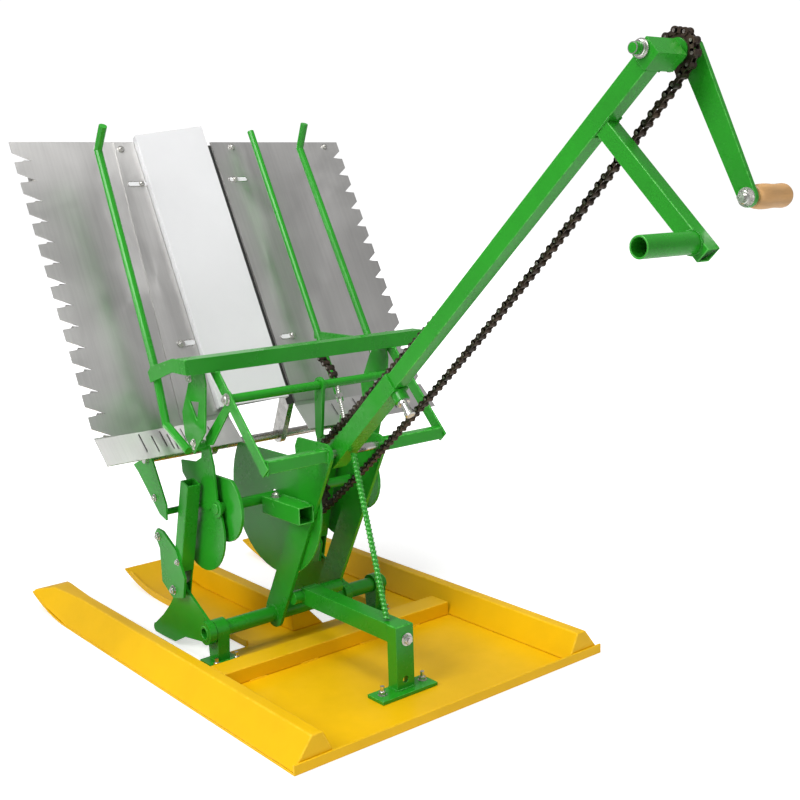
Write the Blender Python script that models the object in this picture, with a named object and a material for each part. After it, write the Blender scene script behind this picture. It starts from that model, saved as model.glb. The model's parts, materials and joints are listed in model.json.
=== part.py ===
"""Hand-cranked two-row paddy transplanter on a sled float.

Metres, +Z up.  +X points to the operator, who cranks and pulls the machine
that way; +Y points to the crank side.  The origin is on the underside of the
float, under the drive.
"""

import math

import bmesh
import bpy
from mathutils import Matrix, Vector

# ---------------------------------------------------------------- sizes
GAP = 0.0003                 # clearance between pieces that touch
ROUND = 24                   # sides of a round tube

# float
FLOAT_WIDTH = 0.554
HANDLE_END = 0.382           # x of the lip at the operator's end
TIP_END = -0.415             # x of the turned-up skid tips
DECK = 0.003                 # sheet of the deck
LIP_HEIGHT = 0.014
TURN_UP_START = -0.285       # x where the skids begin to rise
TURN_UP = 0.026
SLOT_FRONT = -0.002          # x where the planting slots begin
LEFT_SLOT = (-0.211, -0.104)
RAIL_HEIGHT = 0.042
RAIL_FOOT = 0.066
RAIL_SLOPE = 0.030           # outer wall leans in by this much
RAIL_TOP = 0.017
RAIL_NOSE = -0.370
RIM = 0.010                  # low rim along the open skid edges
BEAM_X = (0.072, 0.113)
BEAM_HEIGHT = 0.022

# rows and cross members
ROW_SPACING = 0.250
LEFT_ROW_Y = -0.179
RIGHT_SLOT = (LEFT_ROW_Y + ROW_SPACING - 0.030, LEFT_ROW_Y + ROW_SPACING + 0.074)
CROSS_TUBE = (0.018, 0.052)  # x, z of the lower cross tube
CROSS_TUBE_R = 0.012
CROSS_TUBE_Y = (-0.188, 0.150)
LEG_Y = (-0.0650, 0.0290)    # left face of each leg plate
LEG_T = 0.005
LEG_TOP = (0.171, 0.327)     # x, z of the bolt at the head of the legs
POST_X = (0.275, 0.295)
POST_Y = (-0.045, -0.014)
POST_TOP = 0.100
LINK_Z = (0.074, 0.100)
LINK_Y = (-0.043, -0.016)

# mast, handle and crank
MAST_Y = -0.035             # middle plane of the mast
MAST_W = 0.020
MAST_D = 0.022
MAST_WALL = 0.002
SLEEVE_END = 0.175           # length of the lower sleeve from the leg bolt
HEAD = (0.7145, 0.822)       # x, z of the crank axis
MAST_TOP = (0.7192, 0.8168)
HEAD_HALF = 0.0115
HEAD_Y = (-0.0475, -0.003)
DROP_SIZE = 0.019
DROP_LENGTH = 0.181
GRIP_TUBE_R = 0.0115
GRIP_TUBE_END = -0.125
CRANK_SHAFT_R = 0.006
CRANK_THROW = 0.1635
CRANK_REST = math.atan2(-0.147, 0.0715)
CRANK_ARM_Y = (0.029, 0.035)
CRANK_ARM_W = 0.025
GRIP_R = 0.013
GRIP_LENGTH = 0.057

# chain drive
DRIVE = (0.030, 0.241)       # x, z of the drive shaft
DRIVE_R = 0.008
CHAIN_Y = 0.011
CHAIN_PITCH = 0.0127
SMALL_TEETH = 10
LARGE_TEETH = 20
CHAIN_WIDTH = 0.010
CHAIN_DEPTH = 0.009
LOWER_SAG = 0.022
UPPER_SAG = 0.014

# planting gear, in the plane of a row
DISC_R = 0.052
CHEEK = (-0.020, 0.201)
CHEEK_R = 0.065
PIN_TOP = (-0.014, 0.264)    # head pin of the planting arm
PIN_LOW = (-0.058, 0.102)    # pin between rocker and arm
HUB_R = 0.018
ROCKER_TOE = (-0.150, 0.0130)
ARM_DEPTH = 0.020
ARM_WIDTH = 0.022
ARM_FORK = 0.026
ARM_LENGTH = 0.181

# upper frame and seedling tray
BAR_X = (0.036, 0.062)
BAR_Z = (0.447, 0.469)
BAR_Y = (-0.213, 0.215)
FEED_TUBE = (0.089, 0.411)
FEED_TUBE_R = 0.0065
SUPPORT_SIZE = 0.018
HANGER_Y = (-0.168, 0.150)   # left face of each hanger bar
HANGER_T = 0.003
PLATE_T = 0.003
SHIELD_Y = (-0.1813, HANGER_Y[1] - GAP - PLATE_T)
TRAY_TOP = (-0.268, 0.777)
TRAY_FOLD = (-0.047, 0.3553)
TRAY_LIP = (-0.0105, 0.3225)
TRAY_T = 0.0015
LEFT_SHEET = (-0.307, -0.086)
RIGHT_SHEET = (0.036, 0.299)
PANEL = (-0.104, 0.022)
PANEL_PROUD = 0.012
ROD_Y = (-0.206, 0.1600)
ROD_R = 0.0062
MIDDLE_ROD_R = 0.0055
MIDDLE_ROD_Y = 0.098
SLIDE_RAIL = (-0.095, 0.303)
SLIDE_R = 0.007


def chain_radius(teeth):
    """Pitch radius of a sprocket."""
    return CHAIN_PITCH / (2 * math.sin(math.pi / teeth))


# ------------------------------------------------------------- helpers
def material(name, colour, roughness, metallic=0.0):
    made = bpy.data.materials.get(name)
    if made is None:
        made = bpy.data.materials.new(name)
        made.use_nodes = True
        shader = made.node_tree.nodes["Principled BSDF"]
        shader.inputs["Base Color"].default_value = (*colour, 1.0)
        shader.inputs["Roughness"].default_value = roughness
        shader.inputs["Metallic"].default_value = metallic
    return made


def green():
    return material("green_paint", (0.03, 0.42, 0.02), 0.35)


def yellow():
    return material("yellow_paint", (0.90, 0.50, 0.01), 0.40)


def steel():
    return material("zinc_steel", (0.50, 0.50, 0.48), 0.35, 1.0)


def stainless():
    return material("stainless_sheet", (0.45, 0.44, 0.42), 0.30, 1.0)


def black():
    return material("chain_steel", (0.05, 0.04, 0.035), 0.45, 0.8)


def white():
    return material("white_panel", (0.80, 0.80, 0.80), 0.45)


def wood():
    return material("turned_wood", (0.55, 0.30, 0.12), 0.50)


def add(name, bm, finish):
    """Make an object from a finished bmesh."""
    bmesh.ops.recalc_face_normals(bm, faces=bm.faces)
    mesh = bpy.data.meshes.new(name)
    bm.to_mesh(mesh)
    bm.free()
    obj = bpy.data.objects.new(name, mesh)
    bpy.context.scene.collection.objects.link(obj)
    obj.data.materials.append(finish)
    return obj


def loft(name, rings, finish, closed=False):
    """Skin over rings of equal length, with end faces unless it is closed."""
    bm = bmesh.new()
    rows = [[bm.verts.new(point) for point in ring] for ring in rings]
    count = len(rows)
    for i in range(count if closed else count - 1):
        near, far = rows[i], rows[(i + 1) % count]
        for j in range(len(near)):
            k = (j + 1) % len(near)
            bm.faces.new((near[j], near[k], far[k], far[j]))
    if not closed:
        bm.faces.new(rows[0])
        bm.faces.new(reversed(rows[-1]))
    return add(name, bm, finish)


def plate(name, outline, y_low, y_high, finish):
    """Flat plate: an (x, z) outline given a thickness in Y."""
    rings = [[(x, y, z) for x, z in outline] for y in (y_low, y_high)]
    return loft(name, rings, finish)


def slab(name, outline, z_low, z_high, finish):
    """Upright piece: an (x, y) outline given a height."""
    rings = [[(x, y, z) for x, y in outline] for z in (z_low, z_high)]
    return loft(name, rings, finish)


def block(name, x, y, z, finish):
    outline = [(x[0], y[0]), (x[1], y[0]), (x[1], y[1]), (x[0], y[1])]
    return slab(name, outline, z[0], z[1], finish)


def arc(centre, radius, start, end, steps):
    """Points of an arc in a plane, angles in degrees."""
    angles = [math.radians(start + (end - start) * i / steps) for i in range(steps + 1)]
    return [(centre[0] + radius * math.cos(a), centre[1] + radius * math.sin(a)) for a in angles]


def circle(centre, radius, sides=ROUND):
    return arc(centre, radius, 0, 360, sides)[:-1]


def ring_between(name, outer, inner, finish):
    """Hollow section: two lists of rings, outer and inner, ends bridged."""
    bm = bmesh.new()
    out = [[bm.verts.new(p) for p in ring] for ring in outer]
    inn = [[bm.verts.new(p) for p in ring] for ring in inner]
    count = len(out[0])
    for j in range(count):
        k = (j + 1) % count
        bm.faces.new((out[0][j], out[0][k], out[1][k], out[1][j]))
        bm.faces.new((inn[0][k], inn[0][j], inn[1][j], inn[1][k]))
        bm.faces.new((out[0][k], out[0][j], inn[0][j], inn[0][k]))
        bm.faces.new((out[1][j], out[1][k], inn[1][k], inn[1][j]))
    return add(name, bm, finish)


def round_tube(name, centre, radius, bore, y_low, y_high, finish):
    """Round tube along Y."""
    outer = [[(x, y, z) for x, z in circle(centre, radius)] for y in (y_low, y_high)]
    inner = [[(x, y, z) for x, z in circle(centre, bore)] for y in (y_low, y_high)]
    obj = ring_between(name, outer, inner, finish)
    smooth(obj)
    return obj


def round_bar(name, centre, radius, y_low, y_high, finish, sides=ROUND):
    """Round bar along Y."""
    obj = plate(name, circle(centre, radius, sides), y_low, y_high, finish)
    smooth(obj)
    return obj


def box_tube(name, start, end, y_mid, width, depth, wall, finish):
    """Rectangular tube between two (x, z) points; depth is in the XZ plane."""
    along = (Vector(end) - Vector(start)).normalized()
    across = Vector((-along.y, along.x))

    def section(point, half_w, half_d):
        corners = ((-1, -1), (1, -1), (1, 1), (-1, 1))
        places = []
        for side, level in corners:
            spot = Vector(point) + across * (level * half_d)
            places.append((spot.x, y_mid + side * half_w, spot.y))
        return places

    outer = [section(p, width / 2, depth / 2) for p in (start, end)]
    inner = [section(p, width / 2 - wall, depth / 2 - wall) for p in (start, end)]
    return ring_between(name, outer, inner, finish)


def rod(name, path, radius, finish, sides=12):
    """Round rod along a path of 3-D points, mitred at its bends."""
    points = [Vector(p) for p in path]
    rings = []
    side = None
    for i, point in enumerate(points):
        before = (point - points[i - 1]).normalized() if i else None
        after = (points[i + 1] - point).normalized() if i < len(points) - 1 else None
        ahead = after if before is None else before if after is None else (before + after).normalized()
        if side is None:
            side = ahead.cross(Vector((0, 1, 0.01))).normalized()
        side = (side - ahead * side.dot(ahead)).normalized()
        up = ahead.cross(side)
        turns = [2 * math.pi * j / sides for j in range(sides)]
        rings.append([point + radius * (math.cos(t) * side + math.sin(t) * up) for t in turns])
    obj = loft(name, rings, finish)
    smooth(obj)
    return obj


def smooth(obj):
    obj.data.shade_smooth()
    obj.data.set_sharp_from_angle(angle=math.radians(40))


def combine(base, others, operation):
    """Boolean base with the others, and drop them."""
    for other in others:
        step = base.modifiers.new(operation.lower(), "BOOLEAN")
        step.operation = operation
        step.object = other
        step.solver = "EXACT"
        graph = bpy.context.evaluated_depsgraph_get()
        result = bpy.data.meshes.new_from_object(base.evaluated_get(graph))
        base.modifiers.clear()
        base.data = result
        bpy.data.objects.remove(other)
    return base


def join(base, *others):
    return combine(base, others, "UNION")


def cut(base, *others):
    return combine(base, others, "DIFFERENCE")


def bore(obj, centre, radius, y_low, y_high):
    """Drill a round hole along Y."""
    return cut(obj, round_bar("bore", centre, radius, y_low, y_high, green()))


def origin_at(obj, point):
    """Put the object's origin on its joint's axis without moving its shape."""
    obj.data.transform(Matrix.Translation(-Vector(point)))
    obj.location = point
    return obj


def along(start, end, distance):
    """Point at a distance from start on the line to end."""
    heading = (Vector(end) - Vector(start)).normalized()
    return tuple(Vector(start) + heading * distance)


# --------------------------------------------------------------- float
def deck_height(x):
    """Underside of the deck: flat, then turned up towards the tips."""
    if x >= TURN_UP_START:
        return 0.0
    share = (TURN_UP_START - x) / (TURN_UP_START - TIP_END)
    return TURN_UP * share * share


def deck_stations():
    steps = 6
    rising = [TIP_END + (TURN_UP_START - TIP_END) * i / steps for i in range(steps + 1)]
    return rising + [SLOT_FRONT, HANDLE_END - DECK, HANDLE_END]


def make_deck():
    """One bent sheet: three skids joined by the pan, with a lip."""
    half = FLOAT_WIDTH / 2
    xs = deck_stations()
    ys = [-half, *LEFT_SLOT, *RIGHT_SLOT, half]
    slots = (1, 3)
    bm = bmesh.new()
    low, high = {}, {}
    for i, x in enumerate(xs):
        for j, y in enumerate(ys):
            base = deck_height(x)
            low[i, j] = bm.verts.new((x, y, base))
            high[i, j] = bm.verts.new((x, y, base + DECK))
    last = len(xs) - 2
    raised = {}
    for j, y in enumerate(ys):
        for i in (last, last + 1):
            raised[i, j] = bm.verts.new((xs[i], y, LIP_HEIGHT))

    def solid(i, j):
        inside = 0 <= i <= last and 0 <= j < len(ys) - 1
        return inside and not (j in slots and xs[i + 1] <= SLOT_FRONT)

    for i in range(last + 1):
        for j in range(len(ys) - 1):
            if not solid(i, j):
                continue
            bm.faces.new((low[i, j], low[i, j + 1], low[i + 1, j + 1], low[i + 1, j]))
            if i < last:
                bm.faces.new((high[i, j], high[i + 1, j], high[i + 1, j + 1], high[i, j + 1]))
            else:
                bm.faces.new((raised[i, j], raised[i + 1, j], raised[i + 1, j + 1], raised[i, j + 1]))
                bm.faces.new((high[i, j], raised[i, j], raised[i, j + 1], high[i, j + 1]))
            edges = (((i, j), (i, j + 1), solid(i - 1, j)), ((i + 1, j), (i + 1, j + 1), solid(i + 1, j)),
                     ((i, j), (i + 1, j), solid(i, j - 1)), ((i, j + 1), (i + 1, j + 1), solid(i, j + 1)))
            for a, b, joined in edges:
                if joined:
                    continue
                bm.faces.new((low[a], low[b], high[b], high[a]))
                if i == last and a[0] == last + 1:
                    bm.faces.new((high[a], high[b], raised[b], raised[a]))
                if i == last and a[0] == last and b[0] == last + 1:
                    bm.faces.new((high[a], high[b], raised[b], raised[a]))
    loose = [v for v in bm.verts if not v.link_faces]
    bmesh.ops.delete(bm, geom=loose, context="VERTS")
    deck = add("float_deck", bm, yellow())
    return join(deck, make_rim(LEFT_SLOT[1]), make_rim(RIGHT_SLOT[1]))


def rail(name, foot_a, top_a, top_b, foot_b, x_end):
    """Raised rail of four-sided section that follows the deck."""
    rings = []
    stations = ((TIP_END + 0.003, 0.0), (RAIL_NOSE, RAIL_HEIGHT),
                (TURN_UP_START, RAIL_HEIGHT), (x_end, RAIL_HEIGHT))
    for x, top in stations:
        foot = deck_height(x) + DECK + GAP
        high = max(top, foot + 0.004)
        share = (high - foot) / (RAIL_HEIGHT - DECK - GAP)
        side_a = foot_a + (top_a - foot_a) * share
        side_b = foot_b + (top_b - foot_b) * share
        rings.append([(x, foot_a, foot), (x, side_a, high), (x, side_b, high), (x, foot_b, foot)])
    return loft(name, rings, yellow())


def make_rails():
    half = FLOAT_WIDTH / 2
    outer_top = half - RAIL_SLOPE
    inner_top = outer_top - RAIL_TOP
    foot = half - RAIL_FOOT
    end = HANDLE_END - DECK - GAP
    rail("left_rail", -half, -outer_top, -inner_top, -foot, end)
    rail("right_rail", half, outer_top, inner_top, foot, end)
    rail("middle_rail", -0.018, -0.016, 0.005, RIGHT_SLOT[0] - GAP, SLOT_FRONT)


def make_rim(y):
    """Low upturned edge beside a slot."""
    rings = []
    for x in deck_stations()[1:8]:
        foot = deck_height(x) + DECK / 2
        rings.append([(x, y, foot), (x, y, foot + RIM), (x, y + DECK, foot + RIM), (x, y + DECK, foot)])
    return loft("rim", rings, yellow())


def make_cross_beam():
    """Folded channel, open below, across the pan."""
    foot = DECK + GAP
    top = foot + BEAM_HEIGHT
    near, far = BEAM_X
    section = [(near, foot), (near, top), (far, top), (far, foot),
               (far - DECK, foot), (far - DECK, top - DECK), (near + DECK, top - DECK), (near + DECK, foot)]
    reach = FLOAT_WIDTH / 2 - RAIL_FOOT - GAP
    return plate("cross_beam", section, -reach, reach, yellow())


# --------------------------------------------------------- lower frame
def make_post():
    wall = 0.003
    near, far = POST_X
    low, high = POST_Y
    foot = DECK + GAP
    section = [(near, low), (far, low), (far, high), (near, high), (near, high - wall),
               (far - wall, high - wall), (far - wall, low + wall), (near, low + wall)]
    post = slab("front_post", section, foot, POST_TOP, green())
    base = block("base", (near - 0.002, far + 0.013), (-0.081, 0.017), (foot, foot + 0.005), green())
    cap = block("cap", (near, far - 0.001), (low + 0.001, high - 0.001),
                (POST_TOP - wall, POST_TOP + 0.001), green())
    join(post, base, cap)
    hole = [(POST_X[1] - 0.010, y, z) for y, z in circle((sum(POST_Y) / 2, 0.022), 0.005, 12)]
    far_ring = [(x + 0.020, y, z) for x, y, z in hole]
    cut(post, loft("hole", [hole, far_ring], green()))
    return post


def make_link_bar():
    """Tube from the legs to the post, with a round cross piece at its rear."""
    mid_z = sum(LINK_Z) / 2
    start = (0.064, mid_z)
    end = (POST_X[0] - GAP, mid_z)
    width = LINK_Y[1] - LINK_Y[0]
    bar = box_tube("link_bar", start, end, sum(LINK_Y) / 2, width, LINK_Z[1] - LINK_Z[0], 0.002, green())
    cross = round_bar("cross", (0.0645, mid_z), 0.010, LEG_Y[0] + LEG_T + GAP, LEG_Y[1] - GAP, green())
    return join(bar, cross)


def leg_outline():
    """Tapered leg plate: broad head, narrow foot around the cross tube."""
    foot = arc(CROSS_TUBE, CROSS_TUBE_R + 0.010, 150, 340, 10)
    head = arc(LEG_TOP, 0.016, -25, 80, 5)
    return foot + head + [(0.105, 0.343), (0.098, 0.330), (0.104, 0.262)]


def make_leg(name, y):
    leg = plate(name, leg_outline(), y, y + LEG_T, green())
    bore(leg, CROSS_TUBE, CROSS_TUBE_R + GAP, y - 0.01, y + 0.02)
    bore(leg, LEG_TOP, 0.006 + GAP, y - 0.01, y + 0.02)
    return leg


def make_cross_tube():
    return round_tube("cross_tube", CROSS_TUBE, CROSS_TUBE_R, 0.008,
                      CROSS_TUBE_Y[0], CROSS_TUBE_Y[1], green())


def make_tube_bracket(name, y, base_y):
    """Upright with an eye for the cross tube, on a bolted foot."""
    x, z = CROSS_TUBE
    foot = DECK + GAP
    eye = arc(CROSS_TUBE, CROSS_TUBE_R + 0.005, -20, 200, 12)
    outline = [(x + 0.012, foot), *eye, (x - 0.012, foot)]
    bracket = plate(name, outline, y, y + 0.020, green())
    base = block("base", (x - 0.016, x + 0.028), (base_y, base_y + 0.048), (foot, foot + 0.004), green())
    join(bracket, base)
    bore(bracket, CROSS_TUBE, CROSS_TUBE_R + GAP, y - 0.02, y + 0.04)
    return bracket


def make_leg_bolt():
    low = LEG_Y[0] - 0.006
    return round_bar("leg_bolt", LEG_TOP, 0.006, low, LEG_Y[1] + LEG_T + 0.006, steel())


# ---------------------------------------------------------------- mast
def mast_length():
    return math.dist(MAST_TOP, LEG_TOP)


def mast_point(distance, offset=0.0):
    """(x, z) on the mast's middle line, measured from the leg bolt."""
    heading = (Vector(MAST_TOP) - Vector(LEG_TOP)).normalized()
    across = Vector((-heading.y, heading.x))
    return tuple(Vector(LEG_TOP) + heading * distance + across * offset)


def make_mast():
    sleeve_wall = 0.0022
    width = MAST_W + 2 * (sleeve_wall + GAP)
    depth = MAST_D + 2 * (sleeve_wall + GAP)
    sleeve = box_tube("mast_sleeve", mast_point(-0.020), mast_point(SLEEVE_END), MAST_Y,
                      width, depth, sleeve_wall, green())
    bore(sleeve, LEG_TOP, 0.006 + GAP, -0.1, 0.1)
    top = mast_length() - HEAD_HALF - GAP
    bar = box_tube("mast_bar", mast_point(SLEEVE_END - 0.070), mast_point(top), MAST_Y,
                   MAST_W, MAST_D, MAST_WALL, green())
    return sleeve, bar


def make_head():
    """Square block across the mast's end, bored for the crank's shaft."""
    middle = mast_length()
    half = HEAD_HALF
    outline = [mast_point(middle - half, half), mast_point(middle - half, -half),
               mast_point(middle + half, -half), mast_point(middle + half, half)]
    housing = plate("head_bearing", outline, HEAD_Y[0], HEAD_Y[1], green())
    return bore(housing, HEAD, CRANK_SHAFT_R + GAP, HEAD_Y[0] - 0.01, HEAD_Y[1] + 0.01)


def drop_start():
    return mast_point(mast_length() - 0.089, -MAST_D / 2 - 0.0008)


def drop_end():
    heading = math.radians(-45)
    start = Vector(drop_start())
    return tuple(start + DROP_LENGTH * Vector((math.cos(heading), math.sin(heading))))


def make_drop_bar():
    return box_tube("drop_bar", drop_start(), drop_end(), MAST_Y, DROP_SIZE, DROP_SIZE, 0.002, green())


def make_grip_tube():
    spot = along(drop_end(), drop_start(), 0.018)
    high = MAST_Y - DROP_SIZE / 2 - GAP
    return round_tube("grip_tube", spot, GRIP_TUBE_R, GRIP_TUBE_R - 0.002, GRIP_TUBE_END, high, green())


def make_brace_rod():
    top = mast_point(0.022, -MAST_D / 2 - 0.0075)
    foot = (POST_X[0] - 0.012, LINK_Z[1] + 0.0045)
    ends = ((top[0], MAST_Y, top[1]), (foot[0], MAST_Y, foot[1]))
    return rod("brace_rod", ends, 0.004, green())


# ------------------------------------------------------- crank and chain
def make_crank():
    tip = (HEAD[0] + CRANK_THROW * math.cos(CRANK_REST), HEAD[1] + CRANK_THROW * math.sin(CRANK_REST))
    axis = (HEAD[0], 0.0, HEAD[1])
    shaft = round_bar("crank_shaft", HEAD, CRANK_SHAFT_R,
                      HEAD_Y[0] - 0.014, CRANK_ARM_Y[1] + 0.006, steel())
    origin_at(shaft, axis)

    degrees = math.degrees(CRANK_REST)
    half = CRANK_ARM_W / 2
    outline = (arc(HEAD, half + 0.002, degrees + 100, degrees + 260, 8)
               + arc(tip, half - 0.002, degrees - 80, degrees + 80, 8))
    arm = plate("crank_arm", outline, CRANK_ARM_Y[0], CRANK_ARM_Y[1], green())
    bore(arm, HEAD, CRANK_SHAFT_R + GAP, 0.0, 0.1)
    low = CRANK_ARM_Y[0] - 0.006
    join(arm, round_bar("pin", tip, 0.005, low, CRANK_ARM_Y[1] + 0.006 + GRIP_LENGTH + 0.001, steel()))
    origin_at(arm, axis)

    start = CRANK_ARM_Y[1] + 0.004
    rings = []
    profile = ((0.0, 0.80), (0.06, 0.95), (0.3, 1.0), (0.6, 0.92), (0.85, 0.97), (0.96, 0.88), (1.0, 0.70))
    for share, girth in profile:
        y = start + share * GRIP_LENGTH
        rings.append([(x, y, z) for x, z in circle(tip, GRIP_R * girth)])
    grip = loft("crank_grip", rings, wood())
    bore(grip, tip, 0.005 + GAP, 0.0, 0.2)
    smooth(grip)
    origin_at(grip, (tip[0], 0.0, tip[1]))


def make_sprocket(name, centre, teeth, hole):
    radius = chain_radius(teeth) - CHAIN_DEPTH / 2 - 0.0005
    obj = round_tube(name, centre, radius, hole, CHAIN_Y - 0.0025, CHAIN_Y + 0.0025, black())
    return origin_at(obj, (centre[0], 0.0, centre[1]))


def chain_path():
    """Pitch line of the chain: two wraps and two sagging strands."""
    small, large = chain_radius(SMALL_TEETH), chain_radius(LARGE_TEETH)
    span = Vector(HEAD) - Vector(DRIVE)
    heading = math.degrees(math.atan2(span.y, span.x))
    lean = math.degrees(math.asin((large - small) / span.length))
    over_top = arc(HEAD, small, heading + 90 + lean, heading - 90 - lean, 14)
    round_low = arc(DRIVE, large, heading - 90 - lean, heading - 270 + lean, 18)

    def strand(start, end, sag, steps):
        points = []
        for i in range(1, steps):
            share = i / steps
            x = start[0] + (end[0] - start[0]) * share
            z = start[1] + (end[1] - start[1]) * share
            points.append((x, z - sag * 4 * share * (1 - share)))
        return points

    lower = strand(over_top[-1], round_low[0], LOWER_SAG, 14)
    upper = strand(round_low[-1], over_top[0], UPPER_SAG, 14)
    return over_top + lower + round_low + upper


def make_chain():
    """The whole chain as one fixed loop."""
    path = [Vector(p) for p in chain_path()]
    count = len(path)
    rings = []
    for i, point in enumerate(path):
        heading = (path[(i + 1) % count] - path[i - 1]).normalized()
        across = Vector((-heading.y, heading.x)) * (CHAIN_DEPTH / 2)
        inner, outer = point - across, point + across
        low, high = CHAIN_Y - CHAIN_WIDTH / 2, CHAIN_Y + CHAIN_WIDTH / 2
        rings.append([(inner.x, low, inner.y), (outer.x, low, outer.y),
                      (outer.x, high, outer.y), (inner.x, high, inner.y)])
    return loft("drive_chain", rings, black(), closed=True)


def make_drive():
    low = shaft_plate_y(LEFT_ROW_Y) - 0.002
    high = shaft_plate_y(LEFT_ROW_Y + ROW_SPACING) + 2 * PLATE_T + 0.016
    shaft = round_bar("drive_shaft", DRIVE, DRIVE_R, low, high, green())
    origin_at(shaft, (DRIVE[0], 0.0, DRIVE[1]))
    make_sprocket("drive_sprocket", DRIVE, LARGE_TEETH, DRIVE_R + GAP)


def make_crank_disc(name, row_y):
    """Crank disc on the drive shaft, cut level at its head."""
    low = shaft_plate_y(row_y) + 2 * PLATE_T + 0.0055
    outline = arc(DRIVE, DISC_R, 120, 420, 22)
    disc = plate(name, outline, low, low + 0.005, green())
    bore(disc, DRIVE, DRIVE_R + GAP, low - 0.01, low + 0.02)
    return origin_at(disc, (DRIVE[0], 0.0, DRIVE[1]))


def make_guard():
    """Round guard plate beside the large sprocket, cut level at its head."""
    low = LEG_Y[0] + LEG_T + GAP
    outline = arc(DRIVE, 0.120, 145, 395, 30)
    guard = plate("sprocket_guard", outline, low, low + 0.003, green())
    bore(guard, DRIVE, DRIVE_R + 0.002, low - 0.01, low + 0.02)
    return guard


# -------------------------------------------------------- planting gear
def make_arm(name, row_y):
    """Planting arm: a channel open forward, forked at its foot for the rocker."""
    wall = 0.0025
    left, right = row_y - ARM_WIDTH / 2, row_y + ARM_WIDTH / 2
    back, front = ARM_DEPTH / 2, -ARM_DEPTH / 2
    section = [(back, left), (back, right), (front, right), (front, right - wall),
               (back - wall, right - wall), (back - wall, left + wall), (front, left + wall), (front, left)]
    rings = []
    for height in (-0.0105, ARM_LENGTH):
        rings.append([(arm_spot(height, d)[0], y, arm_spot(height, d)[1]) for d, y in section])
    arm = loft(name, rings, green())
    inner = back - wall - 0.001
    fork = [arm_spot(ARM_FORK, inner), arm_spot(ARM_FORK, back + 0.01),
            arm_spot(-0.03, back + 0.01), arm_spot(-0.03, inner)]
    cut(arm, plate("fork", fork, left + wall - 0.0002, right - wall + 0.0002, green()))
    cover = [arm_spot(h, d) for h, d in ((0.036, front - 0.0015), (0.036, front + 0.002),
                                         (ARM_LENGTH - 0.001, front + 0.002), (ARM_LENGTH - 0.001, front - 0.0015))]
    join(arm, plate("cover", cover, left + 0.0004, right - 0.0004, green()))
    join(arm, make_arm_plate(row_y))
    return origin_at(arm, (PIN_LOW[0], 0.0, PIN_LOW[1]))


def make_arm_plate(row_y):
    """Side plate on the lower half of the arm."""
    outline = [(-0.109, 0.180), (-0.100, 0.190), (-0.083, 0.189), (-0.045, 0.168), (-0.022, 0.128),
               (-0.030, 0.096), (-0.062, 0.088), (-0.094, 0.107), (-0.095, 0.160)]
    low = row_y - ARM_WIDTH / 2 - PLATE_T
    return plate("side", outline, low, low + PLATE_T + 0.001, green())


def arm_spot(height, back):
    """(x, z) measured up the arm from its low pin and back from its middle."""
    heading = (Vector(PIN_TOP) - Vector(PIN_LOW)).normalized()
    return tuple(Vector(PIN_LOW) + heading * height + Vector((-heading.y, heading.x)) * back)


def make_claw(name, row_y):
    """Planting fork, hooked behind the arm."""
    web = ARM_DEPTH / 2 + GAP
    outline = [arm_spot(h, b) for h, b in (
        (0.050, web), (0.048, web + 0.016), (0.026, web + 0.030), (0.002, web + 0.034), (-0.004, web + 0.027),
        (0.014, web + 0.022), (0.028, web + 0.012), (0.030, web))]
    claw = plate(name, outline, row_y - 0.006, row_y + 0.006, black())
    return origin_at(claw, (PIN_LOW[0], 0.0, PIN_LOW[1]))


def make_rocker(name, row_y):
    """Axe-shaped rocker that swings on the cross tube, with the arm's pin."""
    hub = arc(CROSS_TUBE, HUB_R, -100, 75, 12)
    lug = arc(PIN_LOW, 0.010, 70, 190, 6)
    toe = arc(ROCKER_TOE, 0.008, 90, 250, 4)
    outline = (hub + lug + [(-0.096, 0.066), (-0.122, 0.042)] + toe
               + [(-0.120, 0.0055), (-0.088, 0.007), (-0.055, 0.024)])
    rocker = plate(name, outline, row_y - 0.002, row_y + 0.002, green())
    join(rocker, round_bar("hub", CROSS_TUBE, HUB_R, row_y - 0.008, row_y + 0.004, green()))
    reach = ARM_WIDTH / 2 - 0.0025 - 0.0005
    join(rocker, round_bar("pin", PIN_LOW, 0.006, row_y - reach, row_y + reach, steel(), 16))
    bore(rocker, CROSS_TUBE, CROSS_TUBE_R + GAP, row_y - 0.02, row_y + 0.02)
    return origin_at(rocker, (CROSS_TUBE[0], 0.0, CROSS_TUBE[1]))


# ---------------------------------------------------------- upper frame
def make_top_bar():
    mid = (sum(BAR_X) / 2, sum(BAR_Z) / 2)
    half_x, half_z = (BAR_X[1] - BAR_X[0]) / 2, (BAR_Z[1] - BAR_Z[0]) / 2

    def section(shrink):
        corners = ((-1, -1), (1, -1), (1, 1), (-1, 1))
        return [(mid[0] + a * (half_x - shrink), mid[1] + b * (half_z - shrink)) for a, b in corners]

    outer = [[(x, y, z) for x, z in section(0)] for y in BAR_Y]
    inner = [[(x, y, z) for x, z in section(0.002)] for y in BAR_Y]
    bar = ring_between("top_bar", outer, inner, green())
    left = bar_bracket(BAR_X[1], -0.0454, ROD_Y[0] - ROD_R - GAP - PLATE_T)
    right = bar_bracket(BAR_X[0] + 0.001, -0.003, ROD_Y[1] + ROD_R + GAP)
    return join(bar, left, right)


def bar_bracket(front, rod_x, y):
    """Plate that drops back from the top bar to a guide rod."""
    low, high = BAR_Z[0] + 0.001, BAR_Z[1] - 0.001
    outline = [(front, low), (front, high), (BAR_X[0] - 0.010, high), (rod_x + 0.005, 0.450),
               (rod_x - 0.005, 0.441), (rod_x + 0.001, 0.426), (BAR_X[0] - 0.014, low)]
    return plate("bracket", outline, y, y + PLATE_T, green())


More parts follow.
